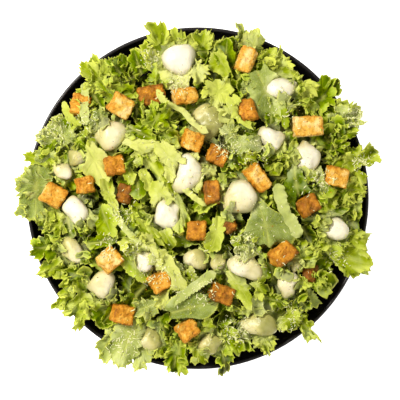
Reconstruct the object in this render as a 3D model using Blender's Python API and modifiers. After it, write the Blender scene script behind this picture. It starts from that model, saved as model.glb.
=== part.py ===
"""A caesar salad: a heap of curly lettuce in a round bowl, with croutons and dollops of dressing.

The origin is the middle of the bowl's flat base, with +Z up. The heap is one solid that fills the
bowl, rises in a low dome and reaches over the rim in places. Each crouton and each dollop is a solid
of its own, pressed a little way into the heap.
"""

import math
import random

import bmesh
import bpy
from mathutils import Matrix, Vector

MM = 0.001

# The bowl: a flat floor that turns up in one round arc to a rounded lip.
RIM_RADIUS = 120 * MM
BOWL_HEIGHT = 76 * MM
WALL = 2.6 * MM
FLOOR_THICKNESS = 4 * MM
FLOOR_RADIUS = 30 * MM
FOOT_RADIUS = 43 * MM
FOOT_HEIGHT = 3.5 * MM
FOOT_EDGE = 1 * MM
BOWL_STEPS = 48  # round the bowl
ARC_STEPS = 7  # along its inside and its outside
LIP_STEPS = 3  # over its lip

# The heap of leaves.
HEAP_DOME = 24 * MM  # rise of the middle over the edge
DOME_POWER = 0.8  # below 1 the dome is fuller and falls away later
HEAP_SPREAD = 121 * MM  # where the dome would reach the height of its edge
HEAP_EDGE = 8 * MM  # height of the edge over the rim
EDGE_WAVE = 3 * MM  # rise and fall of the edge on its way round
EDGE_WAVES = 7
HEAP_BUMP = 2.2 * MM
BUMP_SPANS = (13 * MM, 15 * MM, 21 * MM)
BUMP_FADE = 30 * MM  # the bumps die away over this last stretch before the edge
HEAP_OUTLINE = 112 * MM  # radius of the outline between the tips that reach out
LEAF_LIP = 3.2 * MM  # thickness of the leaves at the outline
RIM_CLEARANCE = 1.2 * MM
WALL_CLEARANCE = 0.9 * MM
TUCK_DEPTH = 13 * MM  # how far under the rim the leaves meet the bowl's wall
NECK_INSET = 8 * MM  # how far inside the rim the heap passes it
HEAP_SPOKES = 48
TOP_RINGS = 7
WALL_RINGS = 5
WALL_CROWD = 1.6  # above 1 the rings crowd towards the floor, where the bowl bends most
NEST_GAP = 0.4 * MM  # room between a topping and the leaves that it sits in

# Tips that reach past the outline: direction in degrees, reach in mm, half width in degrees.
TIPS = (
    (18, 17, 12),
    (38, 14, 10),
    (71, 9, 11),
    (101, 11, 9),
    (131, 10, 9),
    (174, 13, 17),
    (203, 13, 10),
    (221, 13, 10),
    (246, 17, 13),
    (266, 9, 8),
    (283, 9, 8),
    (309, 12, 8),
    (343, 17, 13),
)

# Croutons: x, y, length, width in mm, turn and tip in degrees, share of the height that is sunk.
CROUTONS = (
    (33, 95, 18, 12.5, 70, 8, 0.30),
    (-32, 70, 19, 15, 12, 10, 0.78),
    (-9, 70, 17, 12.5, 8, 12, 0.50),
    (-52, 63, 16.5, 15, -32, 14, 0.25),
    (-81, 64, 15, 14, 80, 6, 0.55),
    (34, 60, 16.5, 12, 107, 10, 0.50),
    (75, 49, 20.5, 14.5, 3, 5, 0.25),
    (-4, 39, 14.5, 13.5, -20, 10, 0.35),
    (13, 29, 14, 12.5, -27, 12, 0.45),
    (-57, 22, 14.5, 13.5, 12, 14, 0.35),
    (40, 14, 19, 13, -52, 12, 0.35),
    (95, 15, 15.5, 14, -12, 10, 0.40),
    (9, 4, 17, 11.5, 98, 8, 0.62),
    (-77, 9, 13, 11.5, 8, 8, 0.40),
    (-99, 2, 16.5, 15.5, -30, 12, 0.30),
    (-50, 3, 14, 11.5, 78, 6, 0.75),
    (75, -5, 16, 14, 32, 10, 0.62),
    (22, -19, 10.5, 9.5, 35, 8, 0.72),
    (-1, -22, 14, 13.5, 88, 5, 0.32),
    (57, -38, 19, 13.5, 38, 16, 0.38),
    (-60, -42, 15.5, 14.5, 42, 12, 0.30),
    (-26, -57, 15, 13.5, 24, 10, 0.50),
    (77, -52, 13, 10.5, 82, 6, 0.78),
    (16, -65, 17, 13, -22, 14, 0.45),
    (-52, -80, 15, 14, -14, 18, 0.35),
    (-7, -90, 15, 13.5, 32, 20, 0.35),
)
CROUTON_HEIGHT = 0.92  # of the width
CROUTON_WEAR = 0.10  # how far a corner may sit from a true box's, of its half size
CROUTON_EDGE = 1.5 * MM

# Dollops of dressing: x, y, length, width in mm, turn in degrees, share of the height that is sunk.
DOLLOPS = (
    (-13, 94, 23, 22.5, 0, 0.30),
    (57, 75, 20, 15.5, 0, 0.35),
    (-59, 44, 22, 20, 84, 0.40),
    (8, 53, 26, 22, 60, 0.72),
    (51, 40, 20, 14.5, -5, 0.45),
    (75, 27, 21, 18, 70, 0.40),
    (-6, 18, 25, 17.5, 104, 0.45),
    (28.5, 0, 24, 21, 20, 0.42),
    (-21, -10, 22, 19.5, 85, 0.42),
    (-92, 18, 15, 10.5, -22, 0.45),
    (-83, 27, 11.5, 10.5, 40, 0.62),
    (-83, -9, 19.5, 16, -62, 0.32),
    (95, -21, 18.5, 16.5, 10, 0.35),
    (-86, -36, 21, 14, 112, 0.42),
    (-36, -42, 16, 14, 10, 0.50),
    (-2, -41, 17, 13.5, -8, 0.45),
    (14, -44, 11.5, 12, 0, 0.66),
    (32, -47, 26, 16.5, -26, 0.40),
    (-65, -60, 19.5, 18, 20, 0.36),
    (61, -58, 15.5, 14, 75, 0.42),
    (66.5, -45, 10, 8.5, 70, 0.74),
    (44, -87, 27, 17, -12, 0.45),
    (-32, -97, 15, 13.5, 60, 0.45),
    (9, -100, 17, 12.5, 5, 0.60),
)
DOLLOP_HEIGHT = 0.68  # of the width
DOLLOP_LOBE = 0.09  # depth of the lobes round a dollop, of its radius

BLACK_GLOSS = ("black_gloss", (0.012, 0.011, 0.013), 0.22)
LETTUCE = ("lettuce", (0.30, 0.40, 0.07), 0.5)
TOAST = ("toast", (0.72, 0.36, 0.09), 0.75)
DRESSING = ("dressing", (0.90, 0.84, 0.62), 0.35)


def clear_scene():
    for obj in list(bpy.data.objects):
        bpy.data.objects.remove(obj)


def collection(name):
    made = bpy.data.collections.new(name)
    bpy.context.scene.collection.children.link(made)
    return made


def material(finish):
    name, colour, roughness = finish
    made = bpy.data.materials.get(name) or bpy.data.materials.new(name)
    made.use_nodes = True
    shader = made.node_tree.nodes["Principled BSDF"]
    shader.inputs["Base Color"].default_value = (*colour, 1.0)
    shader.inputs["Roughness"].default_value = roughness
    shader.inputs["Metallic"].default_value = 0.0
    return made


def add_object(name, mesh, finish, home):
    made = bpy.data.objects.new(name, mesh)
    home.objects.link(made)
    mesh.materials.append(material(finish))
    return made


def mesh_from(shape, name):
    mesh = bpy.data.meshes.new(name)
    shape.to_mesh(mesh)
    shape.free()
    return mesh


def arc_radius(height, offset):
    """Radius, at a height over the table, of a surface that keeps an offset from the bowl's inside."""
    bend = bowl_bend()
    drop = FLOOR_THICKNESS + bend - height
    return FLOOR_RADIUS + math.sqrt(max(0.0, (bend + offset) ** 2 - drop**2))


def bowl_bend():
    """Radius of the one arc that runs from the edge of the flat floor to the inside of the lip."""
    across = RIM_RADIUS - WALL - FLOOR_RADIUS
    up = BOWL_HEIGHT - WALL / 2 - FLOOR_THICKNESS
    return (across**2 + up**2) / (2 * up)


def bowl_profile():
    """Points (radius, height): out over the floor, up the inside, round the lip, down the outside."""
    bend = bowl_bend()
    top = BOWL_HEIGHT - WALL / 2
    centre = (FLOOR_RADIUS, FLOOR_THICKNESS + bend)
    last = math.acos((centre[1] - top) / bend)
    points = [(0.0, FLOOR_THICKNESS)]
    for step in range(ARC_STEPS + 1):
        turn = last * step / ARC_STEPS
        points.append((centre[0] + bend * math.sin(turn), centre[1] - bend * math.cos(turn)))
    middle = RIM_RADIUS - WALL / 2
    for step in range(1, LIP_STEPS):
        turn = math.pi * step / LIP_STEPS
        points.append((middle - WALL / 2 * math.cos(turn), top + WALL / 2 * math.sin(turn)))
    outer = bend + WALL
    foot_turn = math.acos((centre[1] - FOOT_HEIGHT) / outer)
    for step in range(ARC_STEPS):
        turn = last + (foot_turn - last) * step / (ARC_STEPS - 1)
        points.append((centre[0] + outer * math.sin(turn), centre[1] - outer * math.cos(turn)))
    points.append((FOOT_RADIUS, FOOT_HEIGHT - FOOT_EDGE))
    points.append((FOOT_RADIUS, FOOT_EDGE))
    points.append((FOOT_RADIUS - FOOT_EDGE, 0.0))
    points.append((0.0, 0.0))
    return points


def add_bowl(home):
    points = bowl_profile()
    mesh = bpy.data.meshes.new("bowl")
    edges = [(i, i + 1) for i in range(len(points) - 1)]
    mesh.from_pydata([(radius, 0.0, height) for radius, height in points], edges, [])
    bowl = add_object("bowl", mesh, BLACK_GLOSS, home)
    turn = bowl.modifiers.new("Turn", "SCREW")
    turn.axis = "Z"
    turn.angle = math.tau
    turn.steps = turn.render_steps = BOWL_STEPS
    turn.use_merge_vertices = True
    turn.merge_threshold = 0.00005
    turn.use_smooth_shade = True
    return bowl


def heap_height(x, y):
    """Height of the top of the leaves: a low dome with a few soft bumps and an edge that waves."""
    radius = math.hypot(x, y)
    frill = EDGE_WAVE * math.sin(EDGE_WAVES * math.atan2(y, x)) * (radius / HEAP_SPREAD) ** 3
    dome = HEAP_DOME * max(0.0, 1.0 - (radius / HEAP_SPREAD) ** 2) ** DOME_POWER
    short, middling, long = BUMP_SPANS
    wave = math.sin(x / short + 1.3) * math.cos(y / middling - 0.4) + 0.6 * math.sin((x + 1.4 * y) / long)
    fade = min(1.0, max(0.0, (HEAP_SPREAD - radius) / BUMP_FADE))
    return BOWL_HEIGHT + HEAP_EDGE + dome + frill + HEAP_BUMP * wave * fade


def outline_radius(direction):
    """Radius of the heap's outline: a circle with a rounded tip in each direction of TIPS."""
    out = 0.0
    for middle, reach, half_width in TIPS:
        away = abs((direction - middle + 180.0) % 360.0 - 180.0)
        out = max(out, reach * MM * math.cos(math.pi / 2 * min(1.0, away / half_width)))
    return HEAP_OUTLINE + out


def heap_section(direction):
    """The heap's half section in one direction: out over its top, in under its edge, down the wall."""
    reach = outline_radius(direction)
    east, north = math.cos(math.radians(direction)), math.sin(math.radians(direction))
    points = []
    for ring in range(1, TOP_RINGS + 1):
        radius = reach * ring / TOP_RINGS
        points.append((radius, heap_height(radius * east, radius * north)))
    edge = points[-1][1]
    over_rim = BOWL_HEIGHT + RIM_CLEARANCE
    points.append((reach - LEAF_LIP / 3, max(edge - LEAF_LIP, over_rim)))
    points.append((min(reach - LEAF_LIP, RIM_RADIUS - NECK_INSET), over_rim))
    tuck = BOWL_HEIGHT - TUCK_DEPTH
    lowest = FLOOR_THICKNESS + WALL_CLEARANCE
    for ring in range(WALL_RINGS):
        height = lowest + (tuck - lowest) * (1 - ring / (WALL_RINGS - 1)) ** WALL_CROWD
        points.append((arc_radius(height, -WALL_CLEARANCE), height))
    return points


def add_heap(home):
    """A sphere whose rings and spokes are moved onto the heap's sections."""
    rings = TOP_RINGS + 2 + WALL_RINGS
    shape = bmesh.new()
    bmesh.ops.create_uvsphere(shape, u_segments=HEAP_SPOKES, v_segments=rings + 1, radius=1.0)
    sections = [heap_section(360.0 * spoke / HEAP_SPOKES) for spoke in range(HEAP_SPOKES)]
    for vertex in shape.verts:
        ring = round(math.acos(max(-1.0, min(1.0, vertex.co.z))) / math.pi * (rings + 1))
        if ring == 0:
            vertex.co = Vector((0.0, 0.0, heap_height(0.0, 0.0)))
        elif ring == rings + 1:
            vertex.co = Vector((0.0, 0.0, FLOOR_THICKNESS + WALL_CLEARANCE))
        else:
            direction = math.atan2(vertex.co.y, vertex.co.x)
            spoke = round(direction / math.tau * HEAP_SPOKES) % HEAP_SPOKES
            radius, height = sections[spoke][ring - 1]
            vertex.co = Vector((radius * math.cos(direction), radius * math.sin(direction), height))
    bmesh.ops.triangulate(shape, faces=shape.faces)
    mesh = mesh_from(shape, "salad")
    mesh.shade_smooth()
    return add_object("salad", mesh, LETTUCE, home)


def hull_of(points):
    """The smallest convex solid round a set of points."""
    shape = bmesh.new()
    for point in points:
        shape.verts.new(point)
    bmesh.ops.convex_hull(shape, input=shape.verts)
    inside = [vertex for vertex in shape.verts if not vertex.link_faces]
    bmesh.ops.delete(shape, geom=inside, context="VERTS")
    return shape


def crouton_shape(length, width, seed, edge):
    """A block of toast with worn corners, and with worn edges of the given width."""
    chance = random.Random(seed)
    size = Vector((length, width, width * CROUTON_HEIGHT))
    block = bmesh.new()
    bmesh.ops.create_cube(block, size=1.0)
    for vertex in block.verts:
        wear = Vector([1.0 - chance.uniform(0.0, 2 * CROUTON_WEAR) for _ in range(3)])
        vertex.co = vertex.co * size * wear
    if edge:
        bmesh.ops.bevel(block, geom=block.edges, offset=edge, segments=1, profile=0.5, affect="EDGES")
    shape = hull_of([vertex.co.copy() for vertex in block.verts])
    block.free()
    return shape


def dollop_shape(length, width, seed):
    """A flattened ball of dressing with two to four soft lobes."""
    chance = random.Random(seed)
    lobes = chance.choice((2, 3, 3, 4))
    turn = chance.uniform(0.0, math.tau)
    shape = bmesh.new()
    bmesh.ops.create_icosphere(shape, subdivisions=2, radius=0.5)
    for vertex in shape.verts:
        around = math.atan2(vertex.co.y, vertex.co.x)
        flat = math.hypot(vertex.co.x, vertex.co.y) * 2.0
        swell = 1.0 + DOLLOP_LOBE * flat * math.cos(lobes * around + turn)
        vertex.co.x *= length * swell
        vertex.co.y *= width * swell
        vertex.co.z *= width * DOLLOP_HEIGHT
    return shape


def add_nest(name, shape, size, home):
    """A cutter a little larger than the topping, for the hollow that it presses into the leaves."""
    bmesh.ops.scale(shape, vec=[1.0 + 2 * NEST_GAP / side for side in size], verts=shape.verts)
    cutter = bpy.data.objects.new(name, mesh_from(shape, name))
    home.objects.link(cutter)
    cutter.hide_render = True
    cutter.display_type = "WIRE"
    return cutter


def settle(obj, x, y, lift, turn, tip):
    """Sets a topping or its nest on the leaves at (x, y), with its middle lifted over them."""
    obj.location = (x * MM, y * MM, heap_height(x * MM, y * MM) + lift)
    pose = Matrix.Rotation(math.radians(turn), 3, "Z") @ Matrix.Rotation(math.radians(tip), 3, "Y")
    obj.rotation_euler = pose.to_euler()


def add_croutons(homes):
    for number, (x, y, length, width, turn, tip, sunk) in enumerate(CROUTONS, start=1):
        name = f"crouton_{number:02d}"
        size = (length * MM, width * MM, width * MM * CROUTON_HEIGHT)
        lift = (0.5 - sunk) * size[2]
        worn = crouton_shape(size[0], size[1], number, CROUTON_EDGE)
        settle(add_object(name, mesh_from(worn, name), TOAST, homes["salad"]), x, y, lift, turn, tip)
        block = crouton_shape(size[0], size[1], number, 0.0)
        settle(add_nest("nest_" + name, block, size, homes["nests"]), x, y, lift, turn, tip)


def add_dollops(homes):
    for number, (x, y, length, width, turn, sunk) in enumerate(DOLLOPS, start=1):
        name = f"dollop_{number:02d}"
        size = (length * MM, width * MM, width * MM * DOLLOP_HEIGHT)
        lift = (0.5 - sunk) * size[2]
        mesh = mesh_from(dollop_shape(size[0], size[1], number), name)
        mesh.shade_smooth()
        settle(add_object(name, mesh, DRESSING, homes["salad"]), x, y, lift, turn, 0)
        ball = dollop_shape(size[0], size[1], number)
        settle(add_nest("nest_" + name, ball, size, homes["nests"]), x, y, lift, turn, 0)


def press_in(heap, nests):
    """Hollows out the heap's top where each topping sits."""
    cut = heap.modifiers.new("Nests", "BOOLEAN")
    cut.operation = "DIFFERENCE"
    cut.solver = "EXACT"
    cut.operand_type = "COLLECTION"
    cut.collection = nests


def main():
    clear_scene()
    homes = {"salad": collection("caesar_salad"), "nests": collection("nests")}
    add_bowl(homes["salad"])
    heap = add_heap(homes["salad"])
    add_croutons(homes)
    add_dollops(homes)
    press_in(heap, homes["nests"])


main()
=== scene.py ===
import math

import bmesh
import bpy
import numpy as np
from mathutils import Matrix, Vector
from mathutils.bvhtree import BVHTree


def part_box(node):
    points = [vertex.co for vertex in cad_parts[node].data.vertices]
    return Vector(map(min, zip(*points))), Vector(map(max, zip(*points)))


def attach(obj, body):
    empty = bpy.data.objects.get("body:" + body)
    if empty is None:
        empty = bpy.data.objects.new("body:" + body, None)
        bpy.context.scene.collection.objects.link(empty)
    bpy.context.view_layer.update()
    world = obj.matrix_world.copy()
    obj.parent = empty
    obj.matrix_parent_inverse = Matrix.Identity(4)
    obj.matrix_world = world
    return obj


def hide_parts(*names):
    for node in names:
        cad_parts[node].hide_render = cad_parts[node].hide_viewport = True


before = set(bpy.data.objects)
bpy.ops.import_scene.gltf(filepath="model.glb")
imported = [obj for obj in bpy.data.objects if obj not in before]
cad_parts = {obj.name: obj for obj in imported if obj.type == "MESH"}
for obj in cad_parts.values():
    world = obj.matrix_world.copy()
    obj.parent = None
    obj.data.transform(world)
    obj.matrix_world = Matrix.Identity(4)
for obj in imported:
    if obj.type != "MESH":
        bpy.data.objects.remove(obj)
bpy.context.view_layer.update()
mm = 0.001
print("frame loaded")

bowlLow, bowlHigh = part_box("bowl")
rimHeight = bowlHigh.z
rimRadius = (bowlHigh.x - bowlLow.x) / 2
croutonNodes = sorted(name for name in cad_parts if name.startswith("crouton_"))
dollopNodes = sorted(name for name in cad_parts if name.startswith("dollop_"))


def makePiece(name, points, faces, material, slot):  # a smooth mesh that rides on the one body
    mesh = bpy.data.meshes.new(name)
    mesh.from_pydata(points, [], faces)
    mesh.update()
    mesh.shade_smooth()
    mesh.materials.append(material)
    piece = bpy.data.objects.new(name, mesh)
    bpy.context.scene.collection.objects.link(piece)
    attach(piece, "root")
    return piece


def addValues(piece, values):  # named numbers on the piece's points, for its material
    for name, numbers in values.items():
        layer = piece.data.attributes.new(name, "FLOAT", "POINT")
        layer.data.foreach_set("value", np.asarray(numbers, np.float32).ravel())


def addMap(piece, name, places):  # a UV map from one (u, v) for each point
    corners = np.zeros(len(piece.data.loops), np.int32)
    piece.data.loops.foreach_get("vertex_index", corners)
    layer = piece.data.uv_layers.new(name=name)
    layer.data.foreach_set("uv", np.asarray(places, np.float32)[corners].ravel())


def pointsOf(piece):  # a piece's points as rows of x, y, z
    corners = np.zeros(len(piece.data.vertices) * 3)
    piece.data.vertices.foreach_get("co", corners)
    return corners.reshape(-1, 3)


def stacked(parts):  # joins (points, faces, faces..., ) shapes, with their face numbers moved along
    starts = np.cumsum([0] + [len(part[0]) for part in parts[:-1]])
    points = np.concatenate([part[0] for part in parts])
    faces = []
    for k in range(1, len(parts[0])):
        faces += np.concatenate([part[k] + start for part, start in zip(parts, starts)]).tolist()
    return points, faces


def ringQuads(rings, around):  # squares between each ring of points and the next one
    ring, spoke = np.meshgrid(np.arange(rings - 1), np.arange(around), indexing="ij")
    ahead = (spoke + 1) % around
    return np.stack([ring * around + spoke, (ring + 1) * around + spoke,
                     (ring + 1) * around + ahead, ring * around + ahead], -1).reshape(-1, 4)


def ringFan(start, around, centre):  # triangles from a centre point to the ring that begins at start
    spokes = start + np.arange(around)
    return np.stack([np.full(around, centre), spokes, np.roll(spokes, -1)], -1)


def tubeFaces(rings, around):  # a tube of rings, with a fan to one more point at each end
    ends = ringFan(0, around, rings * around), ringFan((rings - 1) * around, around, rings * around + 1)[:, ::-1]
    return ringQuads(rings, around), np.concatenate(ends)


def unit(vectors):  # each vector over its own length
    return vectors / np.maximum(np.linalg.norm(vectors, axis=-1, keepdims=True), 1e-12)


# The heap's top, as in the CAD: a low dome over the rim with a few soft bumps and an edge that waves.
heapShape = {"edge": 8.0, "dome": 24.0, "spread": 121.0, "power": 0.8, "bump": 2.2, "spans": (13, 15, 21),
             "fade": 30, "wave": 3.0, "waves": 7}


def heapTop(x, y):  # metres in, metres out, for numbers or arrays
    x, y = x / mm, y / mm
    out = np.hypot(x, y)
    share = out / heapShape["spread"]
    first, second, third = heapShape["spans"]
    frill = heapShape["wave"] * np.sin(heapShape["waves"] * np.arctan2(y, x)) * share ** 3
    dome = heapShape["dome"] * np.clip(1 - share ** 2, 0, None) ** heapShape["power"]
    bump = np.sin(x / first + 1.3) * np.cos(y / second - 0.4) + 0.6 * np.sin((x + 1.4 * y) / third)
    fade = np.clip((heapShape["spread"] - out) / heapShape["fade"], 0, 1)
    return rimHeight + (heapShape["edge"] + dome + frill + heapShape["bump"] * bump * fade) * mm


def harmonics(along, count, chance, spread=0.35):
    # Waves round a closed margin: sines of whole numbers of turns near count, and their quarter-turn twins.
    count = max(1.0, count)
    numbers = np.unique(np.clip(np.round(count * (1 + spread * chance.uniform(-1, 1, 5))), 1, None))
    sizes = chance.uniform(0.5, 1.0, len(numbers))
    sizes /= np.sqrt((sizes ** 2).sum()) * 0.8
    rise, shift = np.zeros_like(along), np.zeros_like(along)
    for number, size, start in zip(numbers, sizes, chance.uniform(0, math.tau, len(numbers))):
        rise += size * np.sin(math.tau * number * along + start)
        shift += size * np.cos(math.tau * number * along + start)
    return rise, shift


def ripple(x, y, length, chance, count=7):
    # A soft relief: the mean of sines of about one wave length that run in many directions.
    total = np.zeros_like(x)
    for _ in range(count):
        turn, size = chance.uniform(0, math.tau), length * chance.uniform(0.7, 1.4)
        total += np.sin((x * math.cos(turn) + y * math.sin(turn)) * math.tau / size + chance.uniform(0, math.tau))
    return total / math.sqrt(count)


def cusps(along, count, chance):
    # Pointed lobes round a margin: one minus the size of a sine, of uneven widths and heights.
    phase = math.pi * count * along + 0.8 * harmonics(along, count / 3, chance, 0.6)[0]
    heights = np.clip(0.85 + 0.5 * harmonics(along, count / 2, chance)[0], 0.1, 1.7)
    return ((1 - np.abs(np.sin(phase))) ** 1.3 - 0.3) * heights


# Kinds of leaf. For the long, middling and short waves of the margin: rise is their height, waves their
# lengths, slide how far they move along the margin and pull how far they move in; points is the depth and
# pitch of the pointed lobes, and teeth of the small teeth on them (all in mm). curl is how far the whole
# margin turns up, of the half width, and fold how far the halves tip about the midrib, in degrees.
leafKinds = {
    "frill": {"rise": (2.9, 1.3, 0.6), "waves": (27, 11.5, 5.2), "slide": (1.2, 1.6, 0.5), "pull": (1.0, 1.0, 0.3),
              "points": (2.9, 7.0), "teeth": (1.5, 2.2), "lobes": 0.08, "curl": 0.16, "fold": (0, 24),
              "blister": 0.2, "clefts": 2, "cuts": 1},
    "lace": {"rise": (3.0, 1.7, 0.8), "waves": (20, 9.5, 4.8), "slide": (1.3, 1.7, 0.6), "pull": (1.0, 1.3, 0.4),
             "points": (3.2, 6.0), "teeth": (1.5, 2.1), "lobes": 0.12, "curl": 0.28, "fold": (5, 30),
             "blister": 0.15, "clefts": 3, "cuts": 1},
    "blade": {"rise": (2.6, 0.6, 0.3), "waves": (34, 12.0, 5.6), "slide": (0.7, 0.6, 0.2), "pull": (0.6, 0.5, 0.2),
              "points": (1.0, 8.0), "teeth": (0.7, 2.3), "lobes": 0.05, "curl": 0.05, "fold": (-26, 30),
              "blister": 0.1, "clefts": 0, "cuts": 2},
    "sheet": {"rise": (1.8, 0.3, 0.15), "waves": (38, 14.0, 6.0), "slide": (0.3, 0.3, 0.1), "pull": (0.3, 0.3, 0.1),
              "points": (0.5, 9.0), "teeth": (0.5, 2.2), "lobes": 0.04, "curl": 0.0, "fold": (-10, 12),
              "blister": 0.06, "clefts": 0, "cuts": 2},
    "fan": {"rise": (2.2, 1.0, 0.6), "waves": (34, 11.0, 5.2), "slide": (0.8, 1.2, 0.5), "pull": (0.6, 0.8, 0.3),
            "points": (2.2, 6.5), "teeth": (1.4, 2.2), "lobes": 0.07, "curl": 0.04, "fold": (-8, 10),
            "blister": 0.08, "clefts": 2, "cuts": 1},
    "wedge": {"rise": (1.4, 0.3, 0.15), "waves": (38, 14.0, 6.0), "slide": (0.3, 0.3, 0.1), "pull": (0.3, 0.3, 0.1),
              "points": (0.3, 9.0), "teeth": (0.4, 2.2), "lobes": 0.02, "curl": 0.0, "fold": (-8, 4),
              "blister": 0.06, "clefts": 0, "cuts": 1, "narrow": 0.62},
    "crease": {"rise": (1.6, 0.8, 0.4), "waves": (30, 10.0, 5.0), "slide": (0.7, 0.9, 0.3), "pull": (0.6, 0.5, 0.2),
               "points": (1.2, 7.0), "teeth": (0.9, 2.4), "lobes": 0.05, "curl": 0.05, "fold": (-52, -38),
               "blister": 0.1, "clefts": 0, "cuts": 1},
    "cup": {"rise": (1.6, 0.9, 0.3), "waves": (22, 9.0, 4.6), "slide": (0.6, 0.8, 0.2), "pull": (0.6, 0.5, 0.2),
            "points": (1.0, 7.0), "teeth": (0.8, 2.4), "lobes": 0.06, "curl": 0.45, "fold": (10, 22),
            "blister": 0.1, "clefts": 0, "cuts": 1},
    "tulip": {"rise": (1.6, 1.4, 0.6), "waves": (14, 8.0, 4.4), "slide": (0.8, 1.2, 0.4), "pull": (0.6, 0.8, 0.3),
              "points": (1.8, 5.0), "teeth": (0.9, 2.1), "lobes": 0.10, "curl": 0.0, "fold": (0, 8),
              "blister": 0.1, "clefts": 1, "cuts": 0, "hollow": 6.0, "waist": 0.22},
}
# Rings from a leaf's middle to its margin and the height of each point of a tooth: fine ones for the leaves on
# top, coarse ones for the leaves that mostly lie under others.
fineRings = (np.array([0.32, 0.55, 0.72, 0.84, 0.915, 0.965, 1.0]), np.array([-0.35, 0.15, 1.0]))
coarseRings = (np.array([0.34, 0.58, 0.76, 0.90, 1.0]), np.array([-0.35, 0.85]))
# How any leaf is cut: points round its first outline, the roundness of its oval and how much that changes from
# tip to stem, how much narrower the stem end is, how far out the stem and the sides are torn off (of the
# length and the width), how uneven the torn edges are, and how wide (in radians) and deep the clefts are.
leafCut = {"points": 720, "oval": (1.95, 0.45), "stem": 0.22, "tornStem": (0.26, 0.38), "tornSide": (0.26, 0.46),
           "uneven": 0.07, "cleftWidth": (0.07, 0.16), "cleftDepth": (0.06, 0.25), "tooth": (0.35, 1.3), "calm": 0.75}
# Its relief: how fast the three waves grow towards the margin, how far they lean, how far the curl pulls the
# margin in, the depths of rib and veins, the gap between veins and the size of the blisters, in mm.
leafRelief = {"grow": (1.7, 5.2, 8.5), "lean": 0.9, "curlPull": 0.75, "rib": 0.7, "vein": 0.3, "veinGap": 6.5,
              "blister": 6.5, "bend": (-36, 6), "sway": (-38, 38), "thick": 0.42}


def stepLengths(turn, far):  # from each point of a closed outline to the next one
    x, y = far * np.cos(turn), far * np.sin(turn)
    return np.hypot(np.diff(x, append=x[0]), np.diff(y, append=y[0]))


def leafOutline(length, width, look, chance, profile):
    # The margin of a flat leaf, as a distance in each direction: an oval, narrower at the stem, times soft
    # lobes, plus pointed lobes, and no further than a few straight torn edges, times a few narrow clefts.
    # It is then marked off in equal steps, some to each small tooth, and the teeth lean towards the tip.
    turn = np.linspace(-math.pi, math.pi, leafCut["points"], endpoint=False)
    toTip = np.cos(turn)
    power = leafCut["oval"][0] - leafCut["oval"][1] * toTip
    halfWidth = width / 2 * (1 - look.get("narrow", 0) * toTip)
    oval = ((np.abs(toTip) / (length / 2)) ** power + (np.abs(np.sin(turn)) / halfWidth) ** power) ** (-1 / power)
    outline = oval * (1 - leafCut["stem"] * (1 - toTip) / 2)
    walk = np.cumsum(stepLengths(turn, outline))
    along = walk / walk[-1]
    outline = outline * (1 + look["lobes"] * harmonics(along, 5, chance, 0.5)[0])
    whole = outline + look["points"][0] * cusps(along, round(walk[-1] / look["points"][1]), chance)
    cuts = [(math.pi + chance.uniform(-0.35, 0.35), length * chance.uniform(*leafCut["tornStem"]))]
    cuts += [(side * chance.uniform(1.1, 2.2), width * chance.uniform(*leafCut["tornSide"]))
             for side in chance.choice([-1, 1], look["cuts"], replace=False)]
    outline = whole
    for where, far in cuts:
        edge = far * (1 + leafCut["uneven"] * harmonics(along, 9, chance)[0])
        outline = np.minimum(outline, edge / np.clip(np.cos(turn - where), 0.02, None))
    for _ in range(look["clefts"]):
        away = (turn - chance.uniform(-2.6, 2.6)) / chance.uniform(*leafCut["cleftWidth"])
        outline = outline * (1 - chance.uniform(*leafCut["cleftDepth"]) * np.exp(-away ** 2))
    walk = np.concatenate([[0], np.cumsum(stepLengths(turn, outline))])
    teethCount = max(6, round(walk[-1] / look["teeth"][1]))
    around = teethCount * len(profile)
    marks = (np.arange(around) + 0.5 + chance.uniform(-0.2, 0.2, around)) / around * walk[-1]
    torn = np.interp(marks, walk[:-1], np.clip((whole / outline - 1.03) * 8, 0, 1))
    outline = np.interp(marks, walk[:-1], outline)
    turn = np.interp(marks, walk, np.append(turn, math.pi))
    teeth = np.where(turn < 0, np.tile(profile, teethCount), np.tile(profile[::-1], teethCount))
    teeth = teeth * np.repeat(chance.uniform(*leafCut["tooth"], teethCount), len(profile))
    return turn, outline, torn, marks / walk[-1], teeth * (1 - leafCut["calm"] * torn), walk[-1]


def bentRound(x, side, length, turn):
    # Bends a length of leaf into an arc of so many degrees towards its side: x runs round the arc's middle.
    radius = length / math.radians(turn)
    return (radius - side) * np.sin(x / radius), radius - (radius - side) * np.cos(x / radius)


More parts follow.
